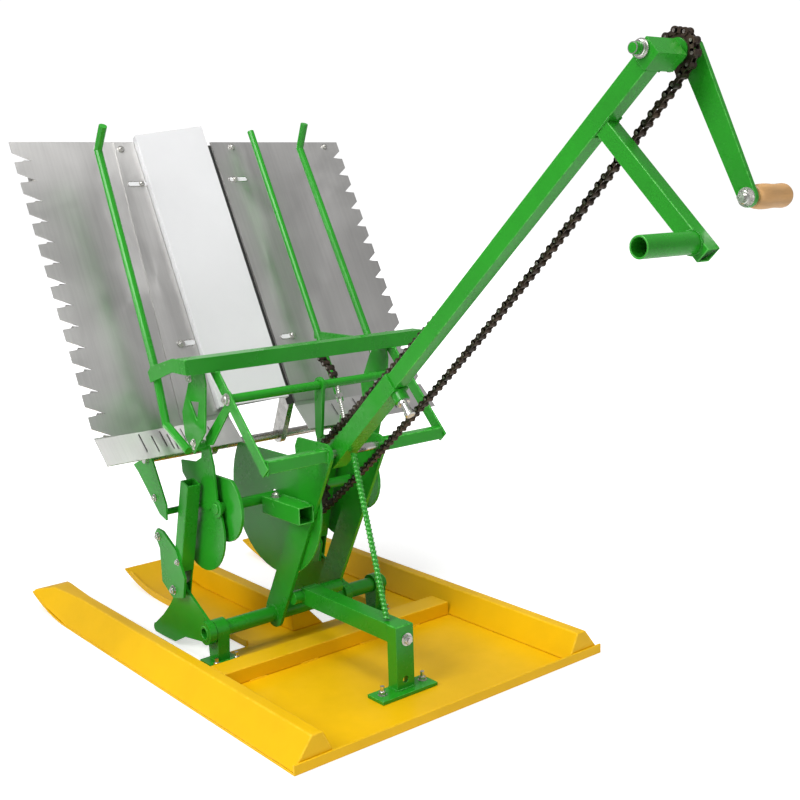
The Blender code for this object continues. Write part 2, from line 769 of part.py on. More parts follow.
def make_hanger(name, y):
    """Flat bar from the top bar to the support tube, with its feed-tube boss."""
    top = (BAR_X[0] + 0.021, BAR_Z[0] - GAP)
    foot = LEG_TOP
    heading = (Vector(foot) - Vector(top)).normalized()
    across = Vector((-heading.y, heading.x)) * 0.0095
    a, b = Vector(top), Vector(foot) + heading * 0.010
    outline = [(a.x - 0.0125, a.y), (a.x + 0.0125, a.y), tuple(b + across), tuple(b - across)]
    bar = plate(name, outline, y, y + HANGER_T, green())
    boss = plate("boss", circle(FEED_TUBE, 0.013), y, y + HANGER_T, green())
    tail = plate("tail", [(0.080, 0.402), (0.096, 0.399), (0.040, 0.338), (0.024, 0.336), (0.022, 0.348)],
                 y, y + HANGER_T, green())
    join(bar, boss, tail)
    return bar


def make_shield(name, y):
    """Plate with a three-cornered window that hangs under the top bar's end."""
    top = BAR_Z[0] - GAP
    outline = [(0.020, top), (0.008, 0.432), (-0.018, 0.382), (-0.014, 0.345), (0.000, 0.330),
               (0.009, 0.322), (0.045, 0.360), (0.054, 0.430), (0.050, top)]
    shield = plate(name, outline, y, y + PLATE_T, green())
    window = plate("window", [(0.006, 0.400), (0.032, 0.402), (0.024, 0.374)], y - 0.02, y + 0.02, green())
    cut(shield, window)
    return shield


def make_support_tube(name, y_low, y_high):
    x, z = LEG_TOP
    half = SUPPORT_SIZE / 2

    def section(size):
        return [(x - size, z - size), (x + size, z - size), (x + size, z + size), (x - size, z + size)]

    outer = [[(a, y, b) for a, b in section(half)] for y in (y_low, y_high)]
    inner = [[(a, y, b) for a, b in section(half - 0.002)] for y in (y_low, y_high)]
    return ring_between(name, outer, inner, green())


def make_feed_tube():
    return round_tube("feed_tube", FEED_TUBE, FEED_TUBE_R, 0.004,
                      HANGER_Y[0] + HANGER_T + GAP, HANGER_Y[1] - GAP, green())


def shaft_plate_y(row_y):
    """Left face of the plate that carries the drive shaft beside a row."""
    return row_y + ARM_WIDTH / 2 + 0.0055


def make_shaft_plate(name, row_y, seat):
    """Plate with a half-moon cheek, and a spacer to the shield's face."""
    y = shaft_plate_y(row_y)
    outline = [(-0.066, 0.299), (-0.022, 0.303), (-0.004, 0.312), (0.002, 0.340), (0.018, 0.340), (0.030, 0.304),
               (0.034, 0.256), (0.028, 0.244), (0.006, 0.234), (-0.012, 0.236), (-0.064, 0.280)]
    side = plate(name, outline, y, y + PLATE_T, green())
    join(side, plate("eye", circle(DRIVE, 0.014), y, y + PLATE_T, green()))
    join(side, plate("cheek", arc(CHEEK, CHEEK_R, 150, 400, 22),
                     y + PLATE_T - 0.0001, y + 2 * PLATE_T, green()))
    bore(side, DRIVE, DRIVE_R + GAP, y - 0.02, y + 0.02)
    ends = (seat, y + 0.001) if seat < y else (y + 0.001, seat)
    return join(side, round_bar("spacer", (0.010, 0.332), 0.006, ends[0], ends[1], steel(), 16))


def make_socket_stub():
    y_high = LEG_Y[0] - GAP
    start, end = (0.042, 0.236), (0.140, 0.236)
    return box_tube("socket_stub", start, end, y_high - 0.013, 0.026, 0.026, 0.002, green())


# ---------------------------------------------------------------- tray
def tray_point(share, lift):
    """(x, z) on the tray's plane; lift is towards the operator."""
    top, fold = Vector(TRAY_TOP), Vector(TRAY_FOLD)
    heading = (fold - top).normalized()
    front = Vector((-heading.y, heading.x))
    return tuple(top + (fold - top) * share + front * lift)


def serrated_edge(y_edge, sign, teeth, depth):
    """(share, y) points of a saw-tooth edge from the head to the fold."""
    points = []
    for i in range(teeth):
        start, end = i / teeth, (i + 1) / teeth
        points.append((start, y_edge))
        points.append((start + (end - start) * 0.54, y_edge))
        points.append((end - (end - start) * 0.06, y_edge - sign * depth))
    points.append((1.0, y_edge))
    return points


def make_sheet(name, y_span, toothed_side):
    """Stainless sheet with one saw-tooth edge, folded forward at its foot."""
    y_low, y_high = y_span
    if toothed_side < 0:
        edge = serrated_edge(y_low, -1, 14, 0.027)
        other = y_high
    else:
        edge = serrated_edge(y_high, 1, 14, 0.019)
        other = y_low
    outline = edge + [(1.0, other), (0.0, other)]
    rings = []
    for lift in (0.0, TRAY_T):
        rings.append([(tray_point(s, lift)[0], y, tray_point(s, lift)[1]) for s, y in outline])
    return join(loft(name, rings, stainless()), lip(y_span))


def lip(y_span):
    """Folded shelf at the foot of a sheet."""
    start, end = Vector(TRAY_FOLD), Vector(TRAY_LIP)
    heading = (end - start).normalized()
    front = Vector((-heading.y, heading.x)) * TRAY_T
    slope = (Vector(TRAY_FOLD) - Vector(TRAY_TOP)).normalized()
    face = Vector((-slope.y, slope.x)) * TRAY_T
    back = start - slope * 0.002
    outline = [tuple(back + face * 0.1), tuple(start + face * 0.1), tuple(end), tuple(end + front),
               tuple(start + front * 0.9), tuple(back + face * 0.9)]
    return plate("lip", outline, y_span[0] + 0.0001, y_span[1] - 0.0001, stainless())


def make_panel():
    """White centre cover, a shallow channel with a slanted head."""
    y_low, y_high = PANEL
    wall = 0.0015
    rings = []
    for low_share, high_share in ((-0.012, -0.049), (0.97, 0.97)):
        spots = ((0.0, y_low), (PANEL_PROUD, y_low), (PANEL_PROUD, y_high), (0.0, y_high),
                 (0.0, y_high - wall), (PANEL_PROUD - wall, y_high - wall), (PANEL_PROUD - wall, y_low + wall), (0.0, y_low + wall))
        ring = []
        for lift, y in spots:
            across = (y - y_low) / (y_high - y_low)
            x, z = tray_point(low_share + (high_share - low_share) * across, lift + TRAY_T + GAP)
            ring.append((x, y, z))
        rings.append(ring)
    return loft("tray_panel", rings, white())


def make_tray_rail(name, share, shoes=()):
    """Square bar behind the sheets that ties them together."""
    size = 0.014
    heading = (Vector(TRAY_FOLD) - Vector(TRAY_TOP)).normalized()
    front = Vector((-heading.y, heading.x))
    near = Vector(tray_point(share, -GAP))
    outline = [near, near - front * size, near - front * size + heading * size, near + heading * size]
    rail = plate(name, [tuple(p) for p in outline], LEFT_SHEET[0] + 0.02, RIGHT_SHEET[1] - 0.02, steel())
    return join(rail, *shoes) if shoes else rail


def rear_plate_y(side):
    """Left face of the plate at an end of the slide rail."""
    if side < 0:
        return LEFT_ROW_Y - ARM_WIDTH / 2 - PLATE_T - 0.011
    return SHIELD_Y[1] - GAP - PLATE_T


def make_slide_rail():
    low, high = rear_plate_y(-1) - 0.006, rear_plate_y(1) + PLATE_T + 0.006
    return round_bar("slide_rail", SLIDE_RAIL, SLIDE_R, low, high, steel())


def make_rear_plates():
    """Plates that carry the slide rail behind the tray."""
    left = [(-0.142, 0.286), (-0.127, 0.276), (-0.066, 0.222), (-0.046, 0.216), (-0.044, 0.240), (-0.084, 0.312)]
    right = [(-0.104, 0.300), (-0.062, 0.256), (0.010, 0.250), (0.036, 0.330), (0.036, 0.362), (0.026, 0.362),
             (0.012, 0.300), (-0.088, 0.316)]
    for name, y, outline in (("left_rear_plate", rear_plate_y(-1), left),
                             ("right_rear_plate", rear_plate_y(1), right)):
        side = plate(name, outline, y, y + PLATE_T, green())
        join(side, plate("eye", circle(SLIDE_RAIL, 0.0135), y, y + PLATE_T, green()))
        if y < 0:
            seat = shaft_plate_y(LEFT_ROW_Y) + PLATE_T - GAP
            join(side, round_bar("stub", (-0.054, 0.227), 0.005, y + 0.001, seat, steel(), 16))
        bore(side, SLIDE_RAIL, SLIDE_R + GAP, y - 0.02, y + 0.02)


def tray_shoe(y):
    """Shoe behind the sheets that slides on the rail."""
    eye = arc(SLIDE_RAIL, 0.013, 150, 330, 10)
    high, low = tray_point(0.90, -GAP), tray_point(0.975, -GAP)
    outline = eye + [low, high]
    shoe = plate("shoe", outline, y, y + 0.010, black())
    bore(shoe, SLIDE_RAIL, SLIDE_R + 0.0005, y - 0.02, y + 0.03)
    return shoe


def make_guide_rods():
    """Rods that hold the seedling mats down on the sheets."""
    left, right = ROD_Y
    for name, y, path in (
        ("left_guide_rod", left,
         ((-0.158, 0.796), (-0.1804, 0.762), (-0.0454, 0.445), (-0.022, 0.366), (0.040, 0.336))),
        ("right_guide_rod", right,
         ((-0.166, 0.803), (-0.1825, 0.764), (-0.003, 0.445), (0.017, 0.410), (0.040, 0.370))),
    ):
        rod(name, [(x, y, z) for x, z in path], ROD_R, green())
    top, low = tray_point(0.0, 0.036), tray_point(1.03, 0.036)
    middle = rod("middle_guide_rod",
                 [(top[0], MIDDLE_ROD_Y, top[1]), (low[0], MIDDLE_ROD_Y, low[1])], MIDDLE_ROD_R, green())
    strut_z = sum(BAR_Z) / 2
    spot = tray_point((TRAY_TOP[1] - strut_z) / (TRAY_TOP[1] - TRAY_FOLD[1]), 0.036)
    strut = block("strut", (spot[0] - 0.002, BAR_X[0] - GAP), (MIDDLE_ROD_Y - 0.003, MIDDLE_ROD_Y + 0.003),
                  (strut_z - 0.002, strut_z + 0.010), green())
    join(middle, strut)


def make_feed_lever():
    """Lever on the feed tube, under the mast sleeve."""
    low = -0.012
    head = arc(FEED_TUBE, 0.012, -40, 200, 10)
    foot = arc((0.083, 0.338), 0.008, 190, 330, 5)
    lever = plate("feed_lever", head + foot, low, low + 0.005, green())
    return bore(lever, FEED_TUBE, FEED_TUBE_R + GAP, low - 0.01, low + 0.02)


# ---------------------------------------------------------------- build
def clear_scene():
    for obj in list(bpy.data.objects):
        bpy.data.objects.remove(obj)


def build():
    clear_scene()
    make_deck()
    make_rails()
    make_cross_beam()
    make_post()
    make_link_bar()
    make_cross_tube()
    make_tube_bracket("left_tube_bracket", -0.1735, -0.1885)
    make_tube_bracket("right_tube_bracket", 0.124, 0.100)
    make_leg("left_leg", LEG_Y[0])
    make_leg("right_leg", LEG_Y[1])
    make_leg_bolt()
    make_mast()
    make_head()
    make_drop_bar()
    make_grip_tube()
    make_brace_rod()
    make_crank()
    make_sprocket("crank_sprocket", HEAD, SMALL_TEETH, CRANK_SHAFT_R + GAP)
    make_chain()
    make_drive()
    make_guard()
    for side, row_y in (("left", LEFT_ROW_Y), ("right", LEFT_ROW_Y + ROW_SPACING)):
        make_crank_disc(side + "_crank_disc", row_y)
        make_arm(side + "_planting_arm", row_y)
        make_claw(side + "_claw", row_y)
        make_rocker(side + "_rocker", row_y)
    make_shaft_plate("left_shaft_plate", LEFT_ROW_Y, SHIELD_Y[0] + PLATE_T + GAP)
    make_shaft_plate("right_shaft_plate", LEFT_ROW_Y + ROW_SPACING, SHIELD_Y[1] - GAP)
    make_socket_stub()
    make_top_bar()
    for i, side in enumerate(("left", "right")):
        make_hanger(side + "_hanger", HANGER_Y[i])
        make_shield(side + "_shield", SHIELD_Y[i])
    make_support_tube("left_support_tube", HANGER_Y[0] + HANGER_T + GAP, LEG_Y[0] - GAP)
    make_support_tube("right_support_tube", LEG_Y[1] + LEG_T + GAP, HANGER_Y[1] - GAP)
    make_feed_tube()
    make_feed_lever()
    make_slide_rail()
    make_rear_plates()
    make_sheet("left_tray_sheet", LEFT_SHEET, -1)
    make_sheet("right_tray_sheet", RIGHT_SHEET, 1)
    make_tray_rail("tray_upper_rail", 0.10)
    make_tray_rail("tray_lower_rail", 0.92, [tray_shoe(-0.098), tray_shoe(0.030)])
    make_panel()
    make_guide_rods()


build()
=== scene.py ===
"""Looks of a hand-cranked two-row paddy transplanter, laid out as panels and operators."""

import json
import math

import bmesh
import bpy
from mathutils import Matrix, Vector

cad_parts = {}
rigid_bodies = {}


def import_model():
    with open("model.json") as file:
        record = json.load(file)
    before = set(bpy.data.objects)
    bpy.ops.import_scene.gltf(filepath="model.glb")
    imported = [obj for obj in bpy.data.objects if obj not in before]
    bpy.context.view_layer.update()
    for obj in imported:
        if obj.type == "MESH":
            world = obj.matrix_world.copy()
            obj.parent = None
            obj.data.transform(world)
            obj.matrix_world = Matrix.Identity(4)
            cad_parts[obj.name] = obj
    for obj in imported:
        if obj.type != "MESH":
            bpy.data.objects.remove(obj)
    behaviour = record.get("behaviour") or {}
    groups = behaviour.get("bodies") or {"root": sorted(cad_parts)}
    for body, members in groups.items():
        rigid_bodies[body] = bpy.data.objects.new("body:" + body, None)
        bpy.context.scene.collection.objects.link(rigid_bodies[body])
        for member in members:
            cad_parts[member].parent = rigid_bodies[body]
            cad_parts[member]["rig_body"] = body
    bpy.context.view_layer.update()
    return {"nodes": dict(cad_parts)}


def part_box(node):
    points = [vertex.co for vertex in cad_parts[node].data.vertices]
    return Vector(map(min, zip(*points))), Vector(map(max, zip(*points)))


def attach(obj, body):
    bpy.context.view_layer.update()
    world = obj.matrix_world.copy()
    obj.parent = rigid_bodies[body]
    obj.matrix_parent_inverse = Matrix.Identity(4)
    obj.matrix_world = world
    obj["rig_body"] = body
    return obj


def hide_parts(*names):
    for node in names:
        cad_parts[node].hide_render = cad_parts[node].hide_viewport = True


bl_info = {
    "name": "Paddy Transplanter Looks",
    "version": (1, 0, 0),
    "blender": (4, 5, 0),
    "location": "View3D > Sidebar > Transplanter",
    "description": "Paint, chain, fasteners, welds and tray details of a hand-cranked transplanter",
    "category": "Object",
}

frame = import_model()


# ------------------------------------------------------- places from the CAD
def middle(node):
    """Centre of a CAD node's box."""
    low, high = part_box(node)
    return (low + high) / 2


HEAD = middle("crank_sprocket")
DRIVE = middle("drive_sprocket")
LEG_BOLT = middle("leg_bolt")
CROSS = middle("cross_tube")
FEED = middle("feed_tube")
BEARING = middle("head_bearing")
MAST_LINE = (Vector((LEG_BOLT.x, 0, LEG_BOLT.z)), Vector((BEARING.x, 0, BEARING.z)))
MAST_REACH = (MAST_LINE[1] - MAST_LINE[0]).length
MAST_MID_Y = middle("mast_bar").y
MAST_HALF = 0.0110           # half the depth of the mast tube
SHEET_FACE = 0.0015          # height of the sheets' face over the line from head to fold
SHEET_LOW, SHEET_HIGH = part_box("left_tray_sheet")
LIP_RUN = Vector((0.0365, 0, -0.0328))
TRAY_HEAD = Vector((SHEET_LOW.x, 0, SHEET_HIGH.z))
TRAY_FOLD = Vector((SHEET_HIGH.x, 0, SHEET_LOW.z)) - LIP_RUN


def mast_spot(distance, across=0.0):
    """Point on the mast's middle plane, measured up from the leg bolt."""
    ahead = (MAST_LINE[1] - MAST_LINE[0]).normalized()
    side = Vector((-ahead.z, 0, ahead.x))
    return MAST_LINE[0] + ahead * distance + side * across + Vector((0, MAST_MID_Y, 0))


def tray_front():
    """Direction that the tray's sheets face."""
    down = (TRAY_FOLD - TRAY_HEAD).normalized()
    return Vector((-down.z, 0, down.x))


def tray_spot(y, height, lift=0.0):
    """Point on the tray's sheets at a width and a height above the ground."""
    share = (TRAY_HEAD.z - height) / (TRAY_HEAD.z - TRAY_FOLD.z)
    spot = TRAY_HEAD + (TRAY_FOLD - TRAY_HEAD) * share + tray_front() * (lift + SHEET_FACE)
    return Vector((spot.x, y, spot.z))


# --------------------------------------------------------------- settings
class TRANSPLANTER_PG_finish(bpy.types.PropertyGroup):
    """Colours of the paints, sheets and wood."""

    green: bpy.props.FloatVectorProperty(name="Frame green", description="Enamel on the frame and gear",
                                         subtype="COLOR", size=3, min=0, max=1, default=(0.018, 0.315, 0.014))
    yellow: bpy.props.FloatVectorProperty(name="Float yellow", description="Enamel on the sled float",
                                          subtype="COLOR", size=3, min=0, max=1, default=(0.87, 0.500, 0.0012))
    stainless: bpy.props.FloatVectorProperty(name="Tray sheet", description="Rolled stainless of the tray",
                                             subtype="COLOR", size=3, min=0, max=1, default=(0.70, 0.69, 0.675))
    panel: bpy.props.FloatVectorProperty(name="Centre panel", description="White cover between the rows",
                                         subtype="COLOR", size=3, min=0, max=1, default=(0.72, 0.72, 0.73))
    zinc: bpy.props.FloatVectorProperty(name="Plated steel", description="Bolts, washers and pins",
                                        subtype="COLOR", size=3, min=0, max=1, default=(0.72, 0.71, 0.68))
    chain: bpy.props.FloatVectorProperty(name="Chain steel", description="Oiled chain and sprockets",
                                         subtype="COLOR", size=3, min=0, max=1, default=(0.050, 0.040, 0.034))
    wood: bpy.props.FloatVectorProperty(name="Grip wood", description="Turned wooden grip",
                                        subtype="COLOR", size=3, min=0, max=1, default=(0.72, 0.40, 0.15))


class TRANSPLANTER_PG_sizes(bpy.types.PropertyGroup):
    """Sizes of the repeated details."""

    chain_pitch: bpy.props.FloatProperty(name="Chain pitch", description="Distance between chain pins",
                                         unit="LENGTH", default=0.0127, min=0.006, max=0.03)
    small_teeth: bpy.props.IntProperty(name="Crank teeth", description="Teeth of the sprocket at the crank",
                                       default=10, min=8, max=30)
    large_teeth: bpy.props.IntProperty(name="Drive teeth", description="Teeth of the sprocket on the drive",
                                       default=20, min=10, max=60)
    lower_sag: bpy.props.FloatProperty(name="Lower strand sag", description="Sag of the chain's lower strand",
                                       unit="LENGTH", default=0.022, min=0, max=0.05)
    upper_sag: bpy.props.FloatProperty(name="Upper strand sag", description="Sag of the chain's upper strand",
                                       unit="LENGTH", default=0.014, min=0, max=0.05)
    weld_width: bpy.props.FloatProperty(name="Weld width", description="Width of a weld bead",
                                        unit="LENGTH", default=0.0036, min=0.001, max=0.01)
    rib_spacing: bpy.props.FloatProperty(name="Rib spacing", description="Spacing of the ribs on the brace rod",
                                         unit="LENGTH", default=0.0062, min=0.002, max=0.02)


def finish_settings():
    return bpy.context.scene.transplanter_finish


def size_settings():
    return bpy.context.scene.transplanter_sizes


# ------------------------------------------------------------- node helpers
def feed(tree, socket, value):
    """Link a socket to another node's socket, or set its own value."""
    if isinstance(value, bpy.types.NodeSocket):
        tree.links.new(value, socket)
    else:
        socket.default_value = value


def add_node(tree, kind, settings=None, **inputs):
    """Add a node, set its properties, and set or link its inputs by name."""
    made = tree.nodes.new(kind)
    for key, value in (settings or {}).items():
        setattr(made, key, value)
    for key, value in inputs.items():
        wanted = key.replace("_", " ")
        feed(tree, next(s for s in made.inputs if s.name == wanted and s.enabled), value)
    return made


def calculate(tree, operation, first, second):
    """Math node on two values or sockets."""
    made = add_node(tree, "ShaderNodeMath", {"operation": operation})
    feed(tree, made.inputs[0], first)
    feed(tree, made.inputs[1], second)
    return made.outputs[0]


def calculate_vector(tree, operation, *values):
    """Vector math node on values or sockets; returns its outputs."""
    made = add_node(tree, "ShaderNodeVectorMath", {"operation": operation})
    for socket, value in zip(made.inputs, values):
        feed(tree, socket, value)
    return made.outputs


def blend_colours(tree, share, first, second):
    """Mix node for colours; returns its colour socket."""
    made = add_node(tree, "ShaderNodeMix", {"data_type": "RGBA"})
    for index, value in ((0, share), (6, first), (7, second)):
        feed(tree, made.inputs[index], value)
    return made.outputs[2]


def noise(tree, place, scale, detail, roughness=0.5, distortion=0.0):
    """Noise from 0 to 1 at a place."""
    return add_node(tree, "ShaderNodeTexNoise", Vector=place, Scale=scale, Detail=detail, Roughness=roughness,
                    Distortion=distortion).outputs["Fac"]


def stretched(tree, value, low, high):
    """Value mapped so that low becomes 0 and high becomes 1."""
    return add_node(tree, "ShaderNodeMapRange", Value=value, From_Min=low, From_Max=high).outputs[0]


def spread(tree, value, amount):
    """Noise from 0 to 1 as a change of plus or minus half the amount."""
    return calculate(tree, "MULTIPLY", calculate(tree, "SUBTRACT", value, 0.5), amount)


def weighted_sum(tree, first, first_weight, second, second_weight):
    return calculate(tree, "ADD", calculate(tree, "MULTIPLY", first, first_weight),
                     calculate(tree, "MULTIPLY", second, second_weight))


def new_group(name, kind, inputs, outputs):
    """Node group with named sockets; returns it with its input and output nodes' sockets."""
    tree = bpy.data.node_groups.new(name, kind)
    for label, socket_kind, value in inputs:
        socket = tree.interface.new_socket(label, in_out="INPUT", socket_type="NodeSocket" + socket_kind)
        if value is not None:
            socket.default_value = value
    for label, socket_kind in outputs:
        tree.interface.new_socket(label, in_out="OUTPUT", socket_type="NodeSocket" + socket_kind)
    return tree, tree.nodes.new("NodeGroupInput").outputs, tree.nodes.new("NodeGroupOutput").inputs


# ---------------------------------------------------------------- materials
def new_finish_group(name, *inputs):
    """Shader group that gives a colour, a roughness and a normal, with its object coordinates."""
    tree, given, result = new_group(name, "ShaderNodeTree", inputs,
                                    (("Colour", "Color"), ("Roughness", "Float"), ("Normal", "Vector")))
    return tree, given, result, add_node(tree, "ShaderNodeTexCoord").outputs["Object"]


def end_finish_group(tree, result, colour, roughness, height, distance, strength):
    """Link a finish group's colour, roughness and bump."""
    bump = add_node(tree, "ShaderNodeBump", Height=height, Distance=distance, Strength=strength)
    for key, value in (("Colour", colour), ("Roughness", roughness), ("Normal", bump.outputs[0])):
        tree.links.new(value, result[key])
    return tree


def sprayed_enamel():
    """Sprayed paint: patches of tone, fine orange peel, paler edges that are partly wear and partly painted
    highlight, and dust.
    """
    tree, given, result, place = new_finish_group(
        "sprayed_enamel", ("Colour", "Color", (0, 0.4, 0, 1)), ("Shade Colour", "Color", (0, 0.3, 0, 1)),
        ("Edge Colour", "Color", (0.2, 0.6, 0.2, 1)), ("Patch Scale", "Float", 9.0),
        ("Peel Scale", "Float", 420.0), ("Peel Depth", "Float", 0.00012), ("Edge Wear", "Float", 0.6),
        ("Roughness", "Float", 0.3), ("Roughness Spread", "Float", 0.12))
    patch = noise(tree, place, given["Patch Scale"], 5.0, 0.6)
    tone = blend_colours(tree, stretched(tree, patch, 0.35, 0.68), given["Colour"], given["Shade Colour"])
    speck = noise(tree, place, 140.0, 4.0, 0.7)
    # Marked rounds and ribs take the paler edge colour in broken patches: partly wear, partly painted highlight.
    edge = add_node(tree, "ShaderNodeAttribute", {"attribute_name": "edge"}).outputs["Fac"]
    broken = calculate(tree, "MULTIPLY", edge, stretched(tree, speck, 0.38, 0.62))
    rubbed_and_highlit = calculate(tree, "MULTIPLY", broken, given["Edge Wear"])
    uneven = calculate(tree, "ADD", given["Roughness"], spread(tree, patch, given["Roughness Spread"]))
    swell = noise(tree, place, 60.0, 2.0)
    height = weighted_sum(tree, noise(tree, place, given["Peel Scale"], 2.0), 1.0, swell, 1.6)
    return end_finish_group(tree, result, blend_colours(tree, rubbed_and_highlit, tone, given["Edge Colour"]),
                            calculate(tree, "ADD", uneven, spread(tree, speck, 0.05)), height,
                            given["Peel Depth"], 1.0)


def rolled_sheet():
    """Rolled sheet: long faint streaks, handling smears and shallow waves."""
    tree, given, result, place = new_finish_group(
        "rolled_sheet", ("Colour", "Color", (0.3, 0.3, 0.3, 1)), ("Streak Colour", "Color", (0.2, 0.2, 0.2, 1)),
        ("Streak Stretch", "Vector", (1.0, 60.0, 1.0)), ("Streak Scale", "Float", 6.0),
        ("Roughness", "Float", 0.3))
    along = calculate_vector(tree, "MULTIPLY", place, given["Streak Stretch"])[0]
    streak = noise(tree, along, given["Streak Scale"], 6.0, 0.65)
    smear = noise(tree, place, 7.0, 6.0, 0.6, 0.8)
    share = stretched(tree, weighted_sum(tree, streak, 0.55, smear, 0.45), 0.36, 0.64)
    height = weighted_sum(tree, streak, 0.02, noise(tree, place, 5.0, 1.0), 1.0)
    return end_finish_group(tree, result, blend_colours(tree, share, given["Streak Colour"], given["Colour"]),
                            calculate(tree, "ADD", given["Roughness"], spread(tree, smear, 0.30)), height,
                            0.003, 0.5)


def turned_grain():
    """Turned wood: grain along the grip, with darker growth lines and pores."""
    tree, given, result, place = new_finish_group(
        "turned_grain", ("Colour", "Color", (0.7, 0.4, 0.15, 1)), ("Grain Colour", "Color", (0.4, 0.2, 0.06, 1)),
        ("Ring Scale", "Float", 55.0))
    along = add_node(tree, "ShaderNodeMapping", Vector=place, Scale=(1.0, 0.12, 1.0)).outputs[0]
    ring = add_node(tree, "ShaderNodeTexWave", {"bands_direction": "Z"}, Vector=along,
                    Scale=given["Ring Scale"], Distortion=5.0, Detail=3.0, Detail_Scale=2.0).outputs["Fac"]
    pore = noise(tree, along, 900.0, 3.0)
    dark = weighted_sum(tree, ring, 0.45, pore, 0.35)
    rough = calculate(tree, "ADD", calculate(tree, "MULTIPLY", pore, 0.25), 0.32)
    return end_finish_group(tree, result, blend_colours(tree, dark, given["Colour"], given["Grain Colour"]),
                            rough, dark, 0.0004, 0.6)


def surface(name, build, given, constants):
    """Material whose Principled shader takes colour, roughness and normal from a group."""
    made = bpy.data.materials.new("look_" + name)
    made.use_nodes = True
    tree = made.node_tree
    shader = tree.nodes["Principled BSDF"]
    effect = tree.nodes.new("ShaderNodeGroup")
    effect.node_tree = bpy.data.node_groups.get(build.__name__) or build()
    for key, value in given.items():
        effect.inputs[key].default_value = value
    for key, socket in (("Colour", "Base Color"), ("Roughness", "Roughness"), ("Normal", "Normal")):
        tree.links.new(effect.outputs[key], shader.inputs[socket])
    for key, value in constants.items():
        shader.inputs[key].default_value = value
    return made


def tinted(colour, factor):
    return (*(min(1.0, c * factor) for c in colour), 1.0)


# Enamels and plated steels: setting or colour, shade factor or colour, values of the group, constants.
# Edge Colour and its amount recolour the marked rounds, paler on green and yellow: partly wear, partly painted
# highlight.
ENAMEL_VALUES = ("Edge Colour", "Patch Scale", "Peel Scale", "Peel Depth", "Edge Wear", "Roughness",
                 "Roughness Spread")
ENAMELS = {
    "green_enamel": ("green", 0.80, ((0.13, 0.62, 0.10, 1), 7.0, 120.0, 0.00004, 0.55, 0.26, 0.25),
                     {"Specular IOR Level": 0.40}),
    "yellow_enamel": ("yellow", 0.86, ((0.95, 0.58, 0.03, 1), 5.0, 110.0, 0.00006, 0.60, 0.40, 0.30),
                      {"Specular IOR Level": 0.22}),
    "white_enamel": ("panel", 0.93, ((0.62, 0.62, 0.62, 1), 4.0, 420.0, 0.00010, 0.35, 0.34, 0.20),
                     {"Coat Weight": 0.25, "Coat Roughness": 0.12}),
    "zinc": ("zinc", 0.72, ((0.70, 0.69, 0.66, 1), 90.0, 900.0, 0.00008, 0.8, 0.27, 0.20), {"Metallic": 1.0}),
    "chain_steel": ("chain", (0.095, 0.062, 0.040, 1),
                    ((0.42, 0.39, 0.36, 1), 60.0, 700.0, 0.00010, 1.0, 0.36, 0.30), {"Metallic": 0.75}),
    "shadow_black": ((0.012, 0.012, 0.012, 1), (0.020, 0.018, 0.016, 1),
                     ((0.05, 0.05, 0.05, 1), 40.0, 500.0, 0.0001, 0.3, 0.60, 0.10), {}),
    "studio_floor": ((0.88, 0.88, 0.88, 1), (0.86, 0.86, 0.86, 1),
                     ((0.9, 0.9, 0.9, 1), 0.6, 60.0, 0.0001, 0.0, 0.75, 0.05), {}),
}


def finish(name):
    """The named finish, made on its first use."""
    found = bpy.data.materials.get("look_" + name)
    if found:
        return found
    colours = finish_settings()
    if name == "stainless":
        return surface(name, rolled_sheet, {
            "Colour": tinted(colours.stainless, 1.0), "Streak Colour": tinted(colours.stainless, 0.88),
            "Streak Stretch": (1.0, 40.0, 1.0), "Streak Scale": 5.0, "Roughness": 0.36},
            {"Metallic": 1.0, "Anisotropic": 0.35})
    if name == "wood":
        return surface(name, turned_grain, {
            "Colour": tinted(colours.wood, 1.0), "Grain Colour": tinted(colours.wood, 0.52), "Ring Scale": 26.0},
            {"Coat Weight": 0.15, "Coat Roughness": 0.25})
    main, shade, values, constants = ENAMELS[name]
    if isinstance(shade, float):
        shade = tinted(getattr(colours, main), shade)
    if isinstance(main, str):
        main = tinted(getattr(colours, main), 1.0)
    given = {"Colour": main, "Shade Colour": shade, **dict(zip(ENAMEL_VALUES, values))}
    return surface(name, sprayed_enamel, given, constants)


# ------------------------------------------------------------------- pieces
def place_piece(name, mesh, look, body, replaced=()):
    """Show a finished mesh as a piece that rides on a body."""
    made = bpy.data.objects.new(name, mesh)
    bpy.context.scene.collection.objects.link(made)
    mesh.materials.clear()
    mesh.materials.append(finish(look))
    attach(made, body)
    if replaced:
        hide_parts(*replaced)
    return made


def mesh_from(bm, name, smooth_angle=35):
    """Turn a bmesh into a mesh with outward faces, smooth up to an angle."""
    bmesh.ops.remove_doubles(bm, verts=bm.verts, dist=1e-6)
    bmesh.ops.recalc_face_normals(bm, faces=bm.faces)
    mesh = bpy.data.meshes.new(name)
    bm.to_mesh(mesh)
    bm.free()
    mesh.shade_smooth()
    mesh.set_sharp_from_angle(angle=math.radians(smooth_angle))
    return mesh


def body_of(node):
    return frame["nodes"][node]["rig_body"]


# Angles in degrees: faces this flat are merged, edges this sharp are rounded, and beyond the last stay hard.
FLAT_ANGLE, ROUNDED_ANGLE, HARD_ANGLE = 1.5, 32, 50


